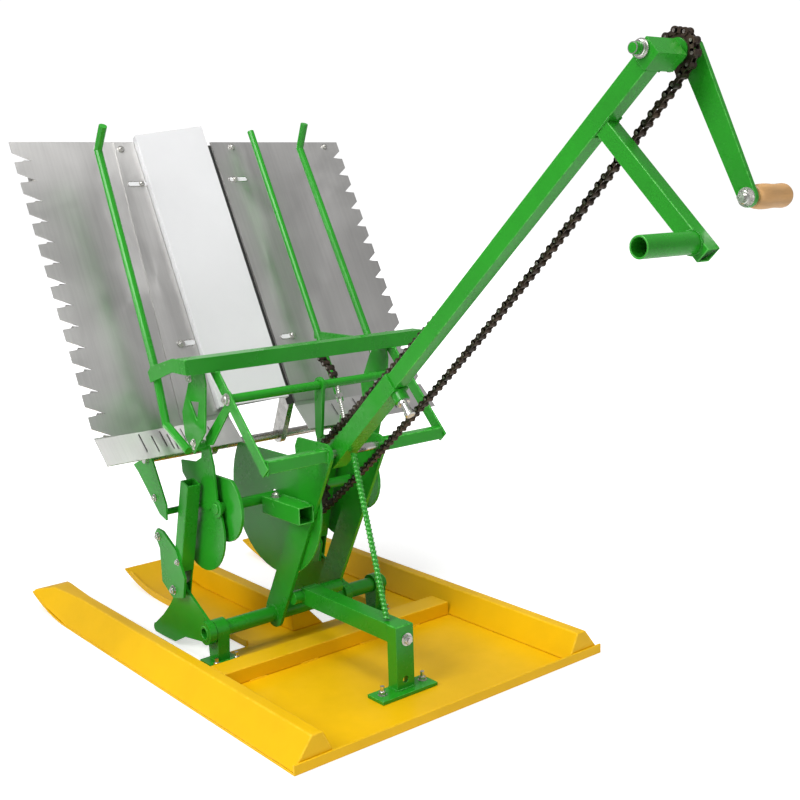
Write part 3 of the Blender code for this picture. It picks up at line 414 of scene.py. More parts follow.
def eased(node, width, segments=2):
    """Copy of a CAD node with rounded edges; the rounds are marked for the finish's paler edge colour, partly wear
    and partly painted highlight.
    """
    bm = bmesh.new()
    bm.from_mesh(frame["nodes"][node].data)
    bmesh.ops.remove_doubles(bm, verts=bm.verts, dist=2e-5)
    bmesh.ops.dissolve_limit(bm, angle_limit=math.radians(FLAT_ANGLE), verts=bm.verts, edges=bm.edges)
    least = math.radians(ROUNDED_ANGLE)
    sharp = [e for e in bm.edges if len(e.link_faces) == 2 and e.calc_face_angle(0.0) > least]
    made = bmesh.ops.bevel(bm, geom=sharp, offset=width, offset_type="OFFSET", segments=segments, profile=0.5,
                           affect="EDGES", clamp_overlap=True, loop_slide=True)
    wear_and_highlight_mark = bm.loops.layers.float.new("edge")
    for face in made["faces"]:
        for loop in face.loops:
            loop[wear_and_highlight_mark] = 1.0
    bmesh.ops.recalc_face_normals(bm, faces=bm.faces)
    mesh = bpy.data.meshes.new(node + "_eased")
    bm.to_mesh(mesh)
    bm.free()
    mesh.shade_smooth()
    mesh.set_sharp_from_angle(angle=math.radians(HARD_ANGLE))
    held = bpy.data.objects.new("easing", mesh)
    bpy.context.scene.collection.objects.link(held)
    held.modifiers.new("weighted", "WEIGHTED_NORMAL").keep_sharp = True
    result = bpy.data.meshes.new_from_object(held.evaluated_get(bpy.context.evaluated_depsgraph_get()))
    bpy.data.objects.remove(held)
    return result


def paint_nodes(widths, look):
    """Replace CAD nodes by copies with rounded edges in a finish."""
    for node, width in widths.items():
        place_piece(node + "_painted", eased(node, width), look, body_of(node), (node,))


def repaint(look, *nodes):
    """Give CAD nodes a finish without changing their shape."""
    for node in nodes:
        for slot in frame["nodes"][node].material_slots:
            slot.material = finish(look)


def turned(bm, start, axis, profile, sides=24):
    """Solid of revolution: (distance along the axis, radius) pairs."""
    axis = axis.normalized()
    side = axis.cross(Vector((0.03, 0.02, 1)) if abs(axis.z) < 0.9 else Vector((1, 0, 0))).normalized()
    up = axis.cross(side)
    rings = []
    for distance, radius in profile:
        centre = start + axis * distance
        turns = (2 * math.pi * k / sides for k in range(sides))
        rings.append([bm.verts.new(centre + radius * (math.cos(a) * side + math.sin(a) * up)) for a in turns])
    for near, far in zip(rings, rings[1:]):
        for k in range(sides):
            n = (k + 1) % sides
            bm.faces.new((near[k], near[n], far[n], far[k]))
    bm.faces.new(rings[0])
    bm.faces.new(reversed(rings[-1]))


def bar_between(bm, outline_low, outline_high):
    """Prism between two matching outlines."""
    low = [bm.verts.new(p) for p in outline_low]
    high = [bm.verts.new(p) for p in outline_high]
    count = len(low)
    for k in range(count):
        n = (k + 1) % count
        bm.faces.new((low[k], low[n], high[n], high[k]))
    bm.faces.new(reversed(low))
    bm.faces.new(high)


def turned_piece(name, start, axis, profile, look, body, sides=24, replaced=()):
    """Piece made of one solid of revolution."""
    bm = bmesh.new()
    turned(bm, start, axis, profile, sides)
    place_piece(name, mesh_from(bm, name), look, body, replaced)


# ------------------------------------------------------------ geometry nodes
def run_tree(name, source, tree, values, look, body, replaced=()):
    """Run a node tree on a source mesh and keep the result as a plain piece."""
    held = bpy.data.objects.new(name + "_source", source)
    bpy.context.scene.collection.objects.link(held)
    modifier = held.modifiers.new("tree", "NODES")
    modifier.node_group = tree
    named = {s.name: s.identifier for s in tree.interface.items_tree if s.in_out == "INPUT"}
    for key, value in {**values, "Finish": finish(look)}.items():
        modifier[named[key]] = value
    mesh = bpy.data.meshes.new_from_object(held.evaluated_get(bpy.context.evaluated_depsgraph_get()))
    held.modifiers.clear()
    bpy.data.objects.remove(held)
    mesh.name = name
    if not mesh.polygons:
        raise RuntimeError(f"{name}: the tree made no faces")
    return place_piece(name, mesh, look, body, replaced)


def new_tree(name, *inputs):
    """Geometry node tree with a source mesh, the given sizes and a finish."""
    return new_group(name, "GeometryNodeTree",
                     (("Geometry", "Geometry", None), *inputs, ("Finish", "Material", None)),
                     (("Geometry", "Geometry"),))


def close_tree(tree, result, given, geometry):
    """Realize the instances, set the finish and end the tree."""
    real = add_node(tree, "GeometryNodeRealizeInstances", Geometry=geometry)
    painted = add_node(tree, "GeometryNodeSetMaterial", Geometry=real.outputs[0], Material=given["Finish"])
    tree.links.new(painted.outputs[0], result["Geometry"])
    return tree


def moved(tree, geometry, place, turn=(0.0, 0.0, 0.0)):
    return add_node(tree, "GeometryNodeTransform", Geometry=geometry, Translation=place, Rotation=turn).outputs[0]


def cylinder_part(tree, sides, radius, depth, place, turn=(0.0, 0.0, 0.0)):
    """Cylinder primitive, moved and turned; returns its geometry socket."""
    made = add_node(tree, "GeometryNodeMeshCylinder", Vertices=sides, Radius=radius, Depth=depth)
    return moved(tree, made.outputs["Mesh"], place, turn)


def joined(tree, *parts):
    together = tree.nodes.new("GeometryNodeJoinGeometry")
    for part in parts:
        tree.links.new(part, together.inputs[0])
    return together.outputs[0]


def vector_of(tree, x=0.0, y=0.0, z=0.0):
    return add_node(tree, "ShaderNodeCombineXYZ", X=x, Y=y, Z=z).outputs[0]


def stored(tree, geometry, name, value, kind="FLOAT", domain="CORNER"):
    """Geometry that carries a value as a named attribute."""
    return add_node(tree, "GeometryNodeStoreNamedAttribute", {"data_type": kind, "domain": domain},
                    Geometry=geometry, Name=name, Value=value).outputs[0]


def named_value(tree, name, kind):
    return add_node(tree, "GeometryNodeInputNamedAttribute", {"data_type": kind}, Name=name).outputs[0]


def level_along(tree, direction):
    """Rotation with X along a direction and Y kept across."""
    first = add_node(tree, "FunctionNodeAlignRotationToVector", {"axis": "X"}, Vector=direction)
    return add_node(tree, "FunctionNodeAlignRotationToVector", {"axis": "Y", "pivot_axis": "X"},
                    Rotation=first.outputs[0], Vector=(0.0, 1.0, 0.0)).outputs[0]


def edge_points(tree, source, spacing):
    """The source's edges as a curve, and the same curve with points at a spacing."""
    curve = add_node(tree, "GeometryNodeMeshToCurve", Mesh=source).outputs[0]
    even = add_node(tree, "GeometryNodeResampleCurve", {"mode": "LENGTH"}, Curve=curve, Length=spacing)
    return curve, even.outputs[0]


def fastener_tree():
    """Hexagon head on a washer with a stud end, put on points that carry an axis and a scale."""
    tree, given, result = new_tree(
        "hex_fasteners", ("Head Radius", "Float", 0.0085), ("Head Height", "Float", 0.0055),
        ("Washer Radius", "Float", 0.0105), ("Washer Height", "Float", 0.0014), ("Stud Radius", "Float", 0.0042),
        ("Stud Height", "Float", 0.0025))
    head_share, cone_share = 0.84, 0.18
    washer_high, head_high, head_wide = given["Washer Height"], given["Head Height"], given["Head Radius"]
    washer = cylinder_part(tree, 20, given["Washer Radius"], washer_high,
                           vector_of(tree, z=calculate(tree, "MULTIPLY", washer_high, 0.5)))
    head_mid = calculate(tree, "ADD", washer_high, calculate(tree, "MULTIPLY", head_high, head_share / 2))
    head_tall = calculate(tree, "MULTIPLY", head_high, head_share)
    head = cylinder_part(tree, 6, head_wide, head_tall, vector_of(tree, z=head_mid))
    cone = add_node(tree, "GeometryNodeMeshCone", Vertices=18,
                    Radius_Top=calculate(tree, "MULTIPLY", head_wide, 0.74),
                    Radius_Bottom=calculate(tree, "MULTIPLY", head_wide, 0.87),
                    Depth=calculate(tree, "MULTIPLY", head_high, cone_share))
    crown = moved(tree, cone.outputs["Mesh"], vector_of(tree, z=calculate(tree, "ADD", washer_high, head_tall)))
    stud = cylinder_part(tree, 12, given["Stud Radius"], calculate(tree, "MULTIPLY", given["Stud Height"], 2.0),
                         vector_of(tree, z=calculate(tree, "ADD", washer_high, head_high)))
    turn = add_node(tree, "FunctionNodeAlignRotationToVector", {"axis": "Z"},
                    Vector=named_value(tree, "axis", "FLOAT_VECTOR"))
    put = add_node(tree, "GeometryNodeInstanceOnPoints", Points=given["Geometry"],
                   Instance=joined(tree, washer, head, crown, stud), Rotation=turn.outputs[0],
                   Scale=named_value(tree, "scale", "FLOAT"))
    return close_tree(tree, result, given, put.outputs[0])


def chain_tree():
    """Roller chain on a path: inner and outer links by turns."""
    tree, given, result = new_tree(
        "roller_chain", ("Links", "Int", 100), ("Pitch", "Float", 0.0127), ("Plate Radius", "Float", 0.0044),
        ("Plate Thickness", "Float", 0.0013), ("Roller Radius", "Float", 0.0040), ("Roller Width", "Float", 0.0056),
        ("Pin Radius", "Float", 0.0019), ("Pin Length", "Float", 0.0125), ("Closed", "Bool", True))
    ends = [calculate(tree, "MULTIPLY", given["Pitch"], share) for share in (0.5, -0.5)]
    upright = (math.pi / 2, 0.0, 0.0)

    def at_ends(sides, radius, depth, y=0.0):
        return [cylinder_part(tree, sides, radius, depth, vector_of(tree, x=end, y=y), upright) for end in ends]

    def side_plates(level):
        parts = []
        for side in (-level, level):
            parts += at_ends(12, given["Plate Radius"], given["Plate Thickness"], side)
            waist = add_node(tree, "GeometryNodeMeshCube", Size=vector_of(
                tree, x=given["Pitch"], y=given["Plate Thickness"],
                z=calculate(tree, "MULTIPLY", given["Plate Radius"], 1.05)))
            parts.append(moved(tree, waist.outputs["Mesh"], (0.0, side, 0.0)))
        return parts

    rollers = at_ends(12, given["Roller Radius"], given["Roller Width"])
    pins = at_ends(8, given["Pin Radius"], given["Pin Length"])
    inner = joined(tree, *side_plates(0.0034), *rollers)
    outer = joined(tree, *side_plates(0.0049), stored(tree, joined(tree, *pins), "edge", 1.0))

    curve = add_node(tree, "GeometryNodeMeshToCurve", Mesh=given["Geometry"])
    even = add_node(tree, "GeometryNodeResampleCurve", {"mode": "COUNT"}, Curve=curve.outputs[0],
                    Count=given["Links"])
    points = add_node(tree, "GeometryNodeCurveToPoints", {"mode": "EVALUATED"}, Curve=even.outputs[0])
    index = add_node(tree, "GeometryNodeInputIndex").outputs[0]
    following = calculate(tree, "MODULO", calculate(tree, "ADD", index, 1.0), given["Links"])
    here = add_node(tree, "GeometryNodeInputPosition").outputs[0]
    there = add_node(tree, "GeometryNodeFieldAtIndex", {"data_type": "FLOAT_VECTOR", "domain": "POINT"},
                     Value=here, Index=following).outputs[0]
    step = calculate_vector(tree, "SUBTRACT", there, here)[0]
    kept = stored(tree, points.outputs[0], "ahead", step, "FLOAT_VECTOR", "POINT")
    centre = calculate_vector(tree, "MULTIPLY_ADD", step, (0.5, 0.5, 0.5), here)[0]
    placed = add_node(tree, "GeometryNodeSetPosition", Geometry=kept, Position=centre)
    turn = level_along(tree, named_value(tree, "ahead", "FLOAT_VECTOR"))
    odd = calculate(tree, "MODULO", index, 2.0)
    last = calculate(tree, "SUBTRACT", calculate(tree, "ADD", given["Links"], given["Closed"]), 1.0)
    used = calculate(tree, "LESS_THAN", index, last)
    both = []
    for link, chosen in ((inner, calculate(tree, "SUBTRACT", 1.0, odd)), (outer, odd)):
        both.append(add_node(tree, "GeometryNodeInstanceOnPoints", Points=placed.outputs[0],
                             Selection=calculate(tree, "MULTIPLY", chosen, used), Instance=link,
                             Rotation=turn).outputs[0])
    return close_tree(tree, result, given, joined(tree, *both))


def weld_tree():
    """Overlapping drops of weld metal along the edges of the source."""
    tree, given, result = new_tree("weld_beads", ("Width", "Float", 0.0036), ("Spacing", "Float", 0.0022),
                                   ("Seed", "Int", 7))
    _, points = edge_points(tree, given["Geometry"], given["Spacing"])
    drop = add_node(tree, "GeometryNodeMeshIcoSphere", Radius=calculate(tree, "MULTIPLY", given["Width"], 0.5),
                    Subdivisions=2)
    size = add_node(tree, "FunctionNodeRandomValue", {"data_type": "FLOAT_VECTOR"}, Seed=given["Seed"])
    size.inputs[0].default_value = (0.75, 0.75, 0.55)
    size.inputs[1].default_value = (1.15, 1.15, 0.95)
    spin = add_node(tree, "FunctionNodeRandomValue", {"data_type": "FLOAT_VECTOR"}, Seed=given["Seed"])
    spin.inputs[1].default_value = (6.0, 6.0, 6.0)
    put = add_node(tree, "GeometryNodeInstanceOnPoints", Points=points, Instance=drop.outputs["Mesh"],
                   Rotation=spin.outputs[0], Scale=size.outputs[0])
    real = add_node(tree, "GeometryNodeRealizeInstances", Geometry=put.outputs[0])
    smooth = add_node(tree, "GeometryNodeSetShadeSmooth", Geometry=real.outputs[0])
    return close_tree(tree, result, given, smooth.outputs[0])


def ribbed_tree():
    """Round rod with slanted ribs along the edges of the source."""
    tree, given, result = new_tree(
        "ribbed_rod", ("Radius", "Float", 0.0037), ("Rib Height", "Float", 0.0011), ("Rib Width", "Float", 0.0024),
        ("Spacing", "Float", 0.006), ("Slant", "Float", 0.5))
    curve, points = edge_points(tree, given["Geometry"], given["Spacing"])
    ring = add_node(tree, "GeometryNodeCurvePrimitiveCircle", Resolution=20, Radius=given["Radius"])
    core = add_node(tree, "GeometryNodeCurveToMesh", Curve=curve, Profile_Curve=ring.outputs["Curve"],
                    Fill_Caps=True)
    band = cylinder_part(tree, 16, calculate(tree, "ADD", given["Radius"], given["Rib Height"]),
                         given["Rib Width"], (0.0, 0.0, 0.0))
    turn = add_node(tree, "FunctionNodeAlignRotationToVector", {"axis": "Z"},
                    Vector=add_node(tree, "GeometryNodeInputTangent").outputs[0])
    slant = add_node(tree, "FunctionNodeRotateRotation", {"rotation_space": "LOCAL"}, Rotation=turn.outputs[0],
                     Rotate_By=vector_of(tree, x=given["Slant"]))
    # The ribs carry the edge mark, so the finish paints them paler: partly wear, partly painted highlight.
    put = add_node(tree, "GeometryNodeInstanceOnPoints", Points=points, Instance=stored(tree, band, "edge", 1.0),
                   Rotation=slant.outputs[0])
    return close_tree(tree, result, given, joined(tree, core.outputs[0], put.outputs[0]))


def bar_tree():
    """Flat bars, one on each point of the source, each with its own length axis."""
    tree, given, result = new_tree("flat_marks", ("Length", "Float", 0.03), ("Width", "Float", 0.001),
                                   ("Thickness", "Float", 0.0004))
    bar = add_node(tree, "GeometryNodeMeshCube", Size=vector_of(
        tree, x=given["Length"], y=given["Width"], z=given["Thickness"]))
    put = add_node(tree, "GeometryNodeInstanceOnPoints", Points=given["Geometry"], Instance=bar.outputs["Mesh"],
                   Rotation=level_along(tree, named_value(tree, "axis", "FLOAT_VECTOR")),
                   Scale=named_value(tree, "scale", "FLOAT"))
    return close_tree(tree, result, given, put.outputs[0])


def points_mesh(name, spots):
    """Loose points that carry an axis and a scale: (place, axis, scale)."""
    mesh = bpy.data.meshes.new(name)
    mesh.from_pydata([tuple(p) for p, _, _ in spots], [], [])
    mesh.attributes.new("axis", "FLOAT_VECTOR", "POINT")
    mesh.attributes.new("scale", "FLOAT", "POINT")
    for i, (_, direction, size) in enumerate(spots):
        mesh.attributes["axis"].data[i].vector = Vector(direction).normalized()
        mesh.attributes["scale"].data[i].value = size
    return mesh


def lines_mesh(name, lines):
    """Polylines as edges: (points, closed)."""
    places, edges = [], []
    for points, closed in lines:
        first = len(places)
        places += [tuple(p) for p in points]
        edges += [(first + i, first + i + 1) for i in range(len(points) - 1)]
        if closed:
            edges.append((len(places) - 1, first))
    mesh = bpy.data.meshes.new(name)
    mesh.from_pydata(places, edges, [])
    return mesh


def seam(*points):
    """Open line through points, for lines_mesh."""
    return [Vector(p) for p in points], False


# ---------------------------------------------------------------- operators
class TRANSPLANTER_OT_float(bpy.types.Operator):
    """Paint the sled float yellow and round its folded edges"""

    bl_idname = "transplanter.float"
    bl_label = "Sled float"
    bl_options = {"REGISTER", "UNDO"}

    def execute(self, context):
        paint_nodes({"float_deck": 0.0009, "left_rail": 0.0035, "right_rail": 0.0035, "middle_rail": 0.003,
                     "cross_beam": 0.0016}, "yellow_enamel")
        return {"FINISHED"}


class TRANSPLANTER_OT_painted_frame(bpy.types.Operator):
    """Paint the frame, mast and planting gear green and round their edges"""

    bl_idname = "transplanter.painted_frame"
    bl_label = "Painted frame"
    bl_options = {"REGISTER", "UNDO"}

    def execute(self, context):
        tubes = {"front_post": 0.0010, "link_bar": 0.0018, "mast_sleeve": 0.0020, "mast_bar": 0.0018,
                 "drop_bar": 0.0018, "top_bar": 0.0020, "left_support_tube": 0.0016, "right_support_tube": 0.0016,
                 "socket_stub": 0.0018, "head_bearing": 0.0022, "cross_tube": 0.0010, "grip_tube": 0.0008,
                 "feed_tube": 0.0008, "drive_shaft": 0.0010}
        plates = {node: 0.0007 for node in (
            "left_tube_bracket", "right_tube_bracket", "left_leg", "right_leg", "sprocket_guard", "left_shaft_plate",
            "right_shaft_plate", "left_hanger", "right_hanger", "left_shield", "right_shield", "feed_lever",
            "left_rear_plate", "right_rear_plate", "left_crank_disc", "right_crank_disc", "left_rocker",
            "right_rocker", "left_planting_arm", "right_planting_arm", "crank_arm")}
        paint_nodes({**tubes, **plates}, "green_enamel")
        repaint("green_enamel", "left_guide_rod", "right_guide_rod", "middle_guide_rod")
        repaint("zinc", "leg_bolt", "slide_rail", "crank_shaft", "tray_upper_rail", "tray_lower_rail")
        paint_nodes({"left_claw": 0.0012, "right_claw": 0.0012}, "chain_steel")
        return {"FINISHED"}


class TRANSPLANTER_OT_tray(bpy.types.Operator):
    """Finish the seedling tray: sheets, adjusting strips, folded tabs, slots and slits"""

    bl_idname = "transplanter.tray"
    bl_label = "Seedling tray"
    bl_options = {"REGISTER", "UNDO"}

    def execute(self, context):
        paint_nodes({"left_tray_sheet": 0.0003, "right_tray_sheet": 0.0003}, "stainless")
        paint_nodes({"tray_panel": 0.0012}, "white_enamel")
        self.strips()
        self.tabs()
        self.slots()
        self.slits()
        return {"FINISHED"}

    def strips(self):
        """Adjusting strips beside the panel, and a near-black strip of painted shade for the shaded channel behind
        its right side.
        """
        for name, low, high, flare, head, foot, look in (
                ("left_adjusting_strip", -0.1395, -0.1050, 0.028, 0.776, 0.362, "stainless"),
                ("right_adjusting_strip", 0.0370, 0.1000, 0.0, 0.776, 0.362, "stainless"),
                # Near-black painted shade: a flat dark strip where the channel behind the panel lies in shade.
                ("panel_channel", 0.0225, 0.0356, 0.0, 0.772, 0.360, "shadow_black")):
            lift = 0.0011 if look == "stainless" else -0.0012
            bm = bmesh.new()
            flat = [tray_spot(low, head), tray_spot(high, head), tray_spot(high, foot), tray_spot(low - flare, foot)]
            bar_between(bm, [p + tray_front() * (lift - 0.0009) for p in flat],
                        [p + tray_front() * lift for p in flat])
            place_piece(name, mesh_from(bm, name), look, "tray")

    def tabs(self):
        """Small tabs cut from the saw-tooth edges and bent back."""
        bm = bmesh.new()
        low_left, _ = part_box("left_tray_sheet")
        _, high_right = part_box("right_tray_sheet")
        count = 14
        tooth = (TRAY_HEAD.z - TRAY_FOLD.z) / count
        for edge, sign, depth in ((low_left.y, -1, 0.027), (high_right.y, 1, 0.019)):
            for i in range(count):
                foot = TRAY_HEAD.z - tooth * (i + 1)
                inner = tray_spot(edge - sign * depth, foot + tooth * 0.06, -0.0014)
                outer = tray_spot(edge - sign * depth * 0.45, foot + tooth * 0.03, -0.0014)
                back = tray_spot(edge - sign * depth * 0.70, foot + tooth * 0.22, -0.0095)
                flat = (inner, outer, back)
                bar_between(bm, flat, [p - tray_front() * 0.0008 for p in flat])
        place_piece("edge_tabs", mesh_from(bm, "edge_tabs"), "stainless", "tray")

    def slots(self):
        """Dark adjusting slots with a raised rim."""
        slots = ((-0.1195, 0.710, 0.013, 0.0035), (-0.1200, 0.4675, 0.010, 0.0040), (0.0665, 0.714, 0.013, 0.0035),
                 (0.0620, 0.460, 0.009, 0.0035))
        for name, grow, low, high, look in (("slot_rims", 0.0016, 0.0010, 0.0016, "zinc"),
                                            ("slot_openings", 0.0, 0.0010, 0.0018, "white_enamel")):
            bm = bmesh.new()
            for y, z, reach, radius in slots:
                ring = []
                for turn in (2 * math.pi * k / 24 for k in range(24)):
                    aside = math.copysign(reach, math.cos(turn)) + (radius + grow) * math.cos(turn)
                    ring.append(tray_spot(y + aside, z + (radius + grow) * math.sin(turn) * 0.88))
                bar_between(bm, [p + tray_front() * low for p in ring], [p + tray_front() * high for p in ring])
            place_piece(name, mesh_from(bm, name), look, "tray")

    def slits(self):
        """Slits across the folded lip, drawn as near-black bars of painted shade."""
        out = LIP_RUN.normalized()
        lift = Vector((-out.z, 0, out.x))
        spots = []
        for low, high, picks in ((-0.307, -0.086, (0.30, 0.38, 0.45, 0.49, 0.52, 0.60, 0.66, 0.80)),
                                 (0.036, 0.299, (0.25, 0.42, 0.47, 0.55, 0.70, 0.78))):
            for pick in picks:
                centre = TRAY_FOLD + LIP_RUN * (0.46 + 0.10 * math.sin(40 * pick)) + lift * 0.0017
                place = Vector((centre.x, low + (high - low) * pick, centre.z))
                spots.append((place, out, 0.9 + 0.2 * math.sin(90 * pick)))
        run_tree("lip_slits", points_mesh("slit_points", spots), bar_tree(),
                 {"Length": 0.030, "Width": 0.0011, "Thickness": 0.0006}, "shadow_black", "tray")


class TRANSPLANTER_OT_chain(bpy.types.Operator):
    """Make the roller chain over both sprockets"""

    bl_idname = "transplanter.chain"
    bl_label = "Roller chain"
    bl_options = {"REGISTER", "UNDO"}

    def execute(self, context):
        path = chain_path()
        length = sum((path[(i + 1) % len(path)] - p).length for i, p in enumerate(path))
        links = 2 * round(length / size_settings().chain_pitch / 2)
        run_tree("roller_chain", lines_mesh("chain_path", [(path, True)]), chain_tree(),
                 {"Links": links, "Pitch": length / links}, "chain_steel", "frame", ("drive_chain",))
        return {"FINISHED"}


def arc_points(centre, radius, start, end, steps):
    """Arc in the XZ plane, angles in radians."""
    turns = [start + (end - start) * i / steps for i in range(steps + 1)]
    return [centre + Vector((math.cos(a), 0, math.sin(a))) * radius for a in turns]


def pitch_radius(teeth):
    """Radius of the pitch circle of a sprocket for the chain."""
    return size_settings().chain_pitch / (2 * math.sin(math.pi / teeth))


def chain_path():
    """Pitch line of the chain: two wraps and two sagging strands."""
    sizes = size_settings()
    small, large = pitch_radius(sizes.small_teeth), pitch_radius(sizes.large_teeth)
    span = HEAD - DRIVE
    heading = math.atan2(span.z, span.x)
    lean = math.asin((large - small) / span.length)
    quarter = math.pi / 2
    over_top = arc_points(HEAD, small, heading + quarter + lean, heading - quarter - lean, 24)
    round_low = arc_points(DRIVE, large, heading - quarter - lean, heading - 3 * quarter + lean, 32)

    def strand(start, end, sag):
        shares = (i / 40 for i in range(1, 40))
        return [start.lerp(end, share) - Vector((0, 0, sag * 4 * share * (1 - share))) for share in shares]

    return (over_top + strand(over_top[-1], round_low[0], sizes.lower_sag)
            + round_low + strand(round_low[-1], over_top[0], sizes.upper_sag))


TOOTH_ROOT = 0.0040          # depth of the tooth gaps inside the pitch circle
TOOTH_HEIGHT = 0.0068
SPROCKET_HALF = 0.0024       # half the thickness of the toothed plate


class TRANSPLANTER_OT_sprockets(bpy.types.Operator):
    """Cut the teeth of both sprockets"""

    bl_idname = "transplanter.sprockets"
    bl_label = "Sprockets"
    bl_options = {"REGISTER", "UNDO"}

    def execute(self, context):
        sizes = size_settings()
        for node, teeth, hole, body in (("crank_sprocket", sizes.small_teeth, 0.0062, "crank"),
                                        ("drive_sprocket", sizes.large_teeth, 0.0082, "drive")):
            centre, radius = middle(node), pitch_radius(teeth)
            ring = []
            for turn in (2 * math.pi * k / (teeth * 8) for k in range(teeth * 8)):
                wave = 0.5 - 0.5 * math.cos(teeth * turn)
                ring.append((turn, 0.9985 * (radius - TOOTH_ROOT + TOOTH_HEIGHT * min(1.0, wave * 1.15))))
            bm = bmesh.new()
            loops = []
            for y in (-SPROCKET_HALF, SPROCKET_HALF):
                for spots in (ring, [(turn, hole) for turn, _ in ring]):
                    loops.append([bm.verts.new(centre + Vector((math.cos(a) * r, y, math.sin(a) * r)))
                                  for a, r in spots])
            for k in range(len(ring)):
                n = (k + 1) % len(ring)
                for near, far in ((0, 2), (3, 1), (1, 0), (2, 3)):
                    bm.faces.new((loops[near][k], loops[near][n], loops[far][n], loops[far][k]))
            hub = 0.62 * radius
            turned(bm, centre - Vector((0, 0.0045, 0)), Vector((0, 1, 0)),
                   ((0.0, hub * 0.94), (0.0004, hub), (0.0088, hub), (0.009, hub * 0.94)))
            place_piece(node + "_toothed", mesh_from(bm, node), "chain_steel", body, (node,))
        return {"FINISHED"}


class TRANSPLANTER_OT_fasteners(bpy.types.Operator):
    """Put the bolts, nuts and washers in place"""

    bl_idname = "transplanter.fasteners"
    bl_label = "Bolts and washers"
    bl_options = {"REGISTER", "UNDO"}

    def execute(self, context):
        out, away, up = Vector((0, -1, 0)), Vector((0, 1, 0)), Vector((0, 0, 1))
        front = tray_front()
        left_hanger, right_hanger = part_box("left_hanger"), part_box("right_hanger")
        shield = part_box("left_shield")
        leg_left, leg_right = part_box("left_leg"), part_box("right_leg")
        shaft_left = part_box("left_shaft_plate")
        rear_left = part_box("left_rear_plate")
        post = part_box("front_post")
        foot = post[0].z + 0.005
        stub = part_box("socket_stub")
        spots = {
            "frame": [
                ((post[0].x + 0.022, -0.0265, 0.080), (1, 0, 0), 0.88),
                ((LEG_BOLT.x, leg_left[0].y, LEG_BOLT.z), out, 0.95),
                ((LEG_BOLT.x, leg_right[1].y, LEG_BOLT.z), away, 0.95),
                ((FEED.x, left_hanger[0].y, FEED.z), out, 0.85),
                ((FEED.x, right_hanger[1].y, FEED.z), away, 0.85),
                ((0.010, shield[0].y, 0.434), out, 0.62), ((0.012, shield[0].y, 0.340), out, 0.55),
                ((0.012, 0.1497, 0.434), away, 0.62), ((0.012, 0.1497, 0.340), away, 0.55),
                (Vector((0.062, middle("socket_stub").y, stub[1].z)), up, 0.80),
                ((-0.078, rear_left[0].y, 0.245), out, 0.55),
                ((0.010, shaft_left[0].y, 0.332), out, 0.50),
            ],
            "left_arm": self.arm_bolts("left"),
            "right_arm": self.arm_bolts("right"),
            "tray": [
                (tray_spot(-0.130, 0.765, 0.0012), front, 0.55), (tray_spot(-0.130, 0.4675, 0.0016), front, 0.62),
                (tray_spot(0.075, 0.768, 0.0012), front, 0.55), (tray_spot(0.072, 0.460, 0.0016), front, 0.62),
                (tray_spot(0.269, 0.769), front, 0.50), (tray_spot(-0.113, 0.710, 0.0016), front, 0.48),
                (tray_spot(0.060, 0.714, 0.0016), front, 0.48)],
            "crank": [
                ((HEAD.x, 0.035, HEAD.z), away, 0.95)],
        }
        grip = middle("crank_grip")
        spots["crank"].append(((grip.x, 0.029, grip.z), out, 0.95))
        tree = fastener_tree()
        studs = [((0.289, -0.067, foot), up, 0.62), ((0.288, 0.006, foot), up, 0.62)]
        for side in ("left", "right"):
            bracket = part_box(side + "_tube_bracket")
            for end in (bracket[0].y + 0.007, bracket[1].y - 0.007):
                studs.append(((0.040, end, bracket[0].z + 0.004), up, 0.55))
        run_tree("foot_studs", points_mesh("stud_points", studs), tree,
                 {"Head Height": 0.0085, "Stud Height": 0.0110, "Stud Radius": 0.0050}, "zinc", "frame")
        for body, places in spots.items():
            run_tree(body + "_fasteners", points_mesh(body + "_bolt_points", places), tree, {}, "zinc", body)
        return {"FINISHED"}

    def arm_bolts(self, side):
        """Bolts on the outer face of a planting arm."""
        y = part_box(side + "_planting_arm")[0].y
        return [((x, y, z), Vector((0, -1, 0)), scale)
                for x, z, scale in ((-0.097, 0.178, 0.62), (-0.058, 0.102, 0.70), (-0.040, 0.150, 0.50))]


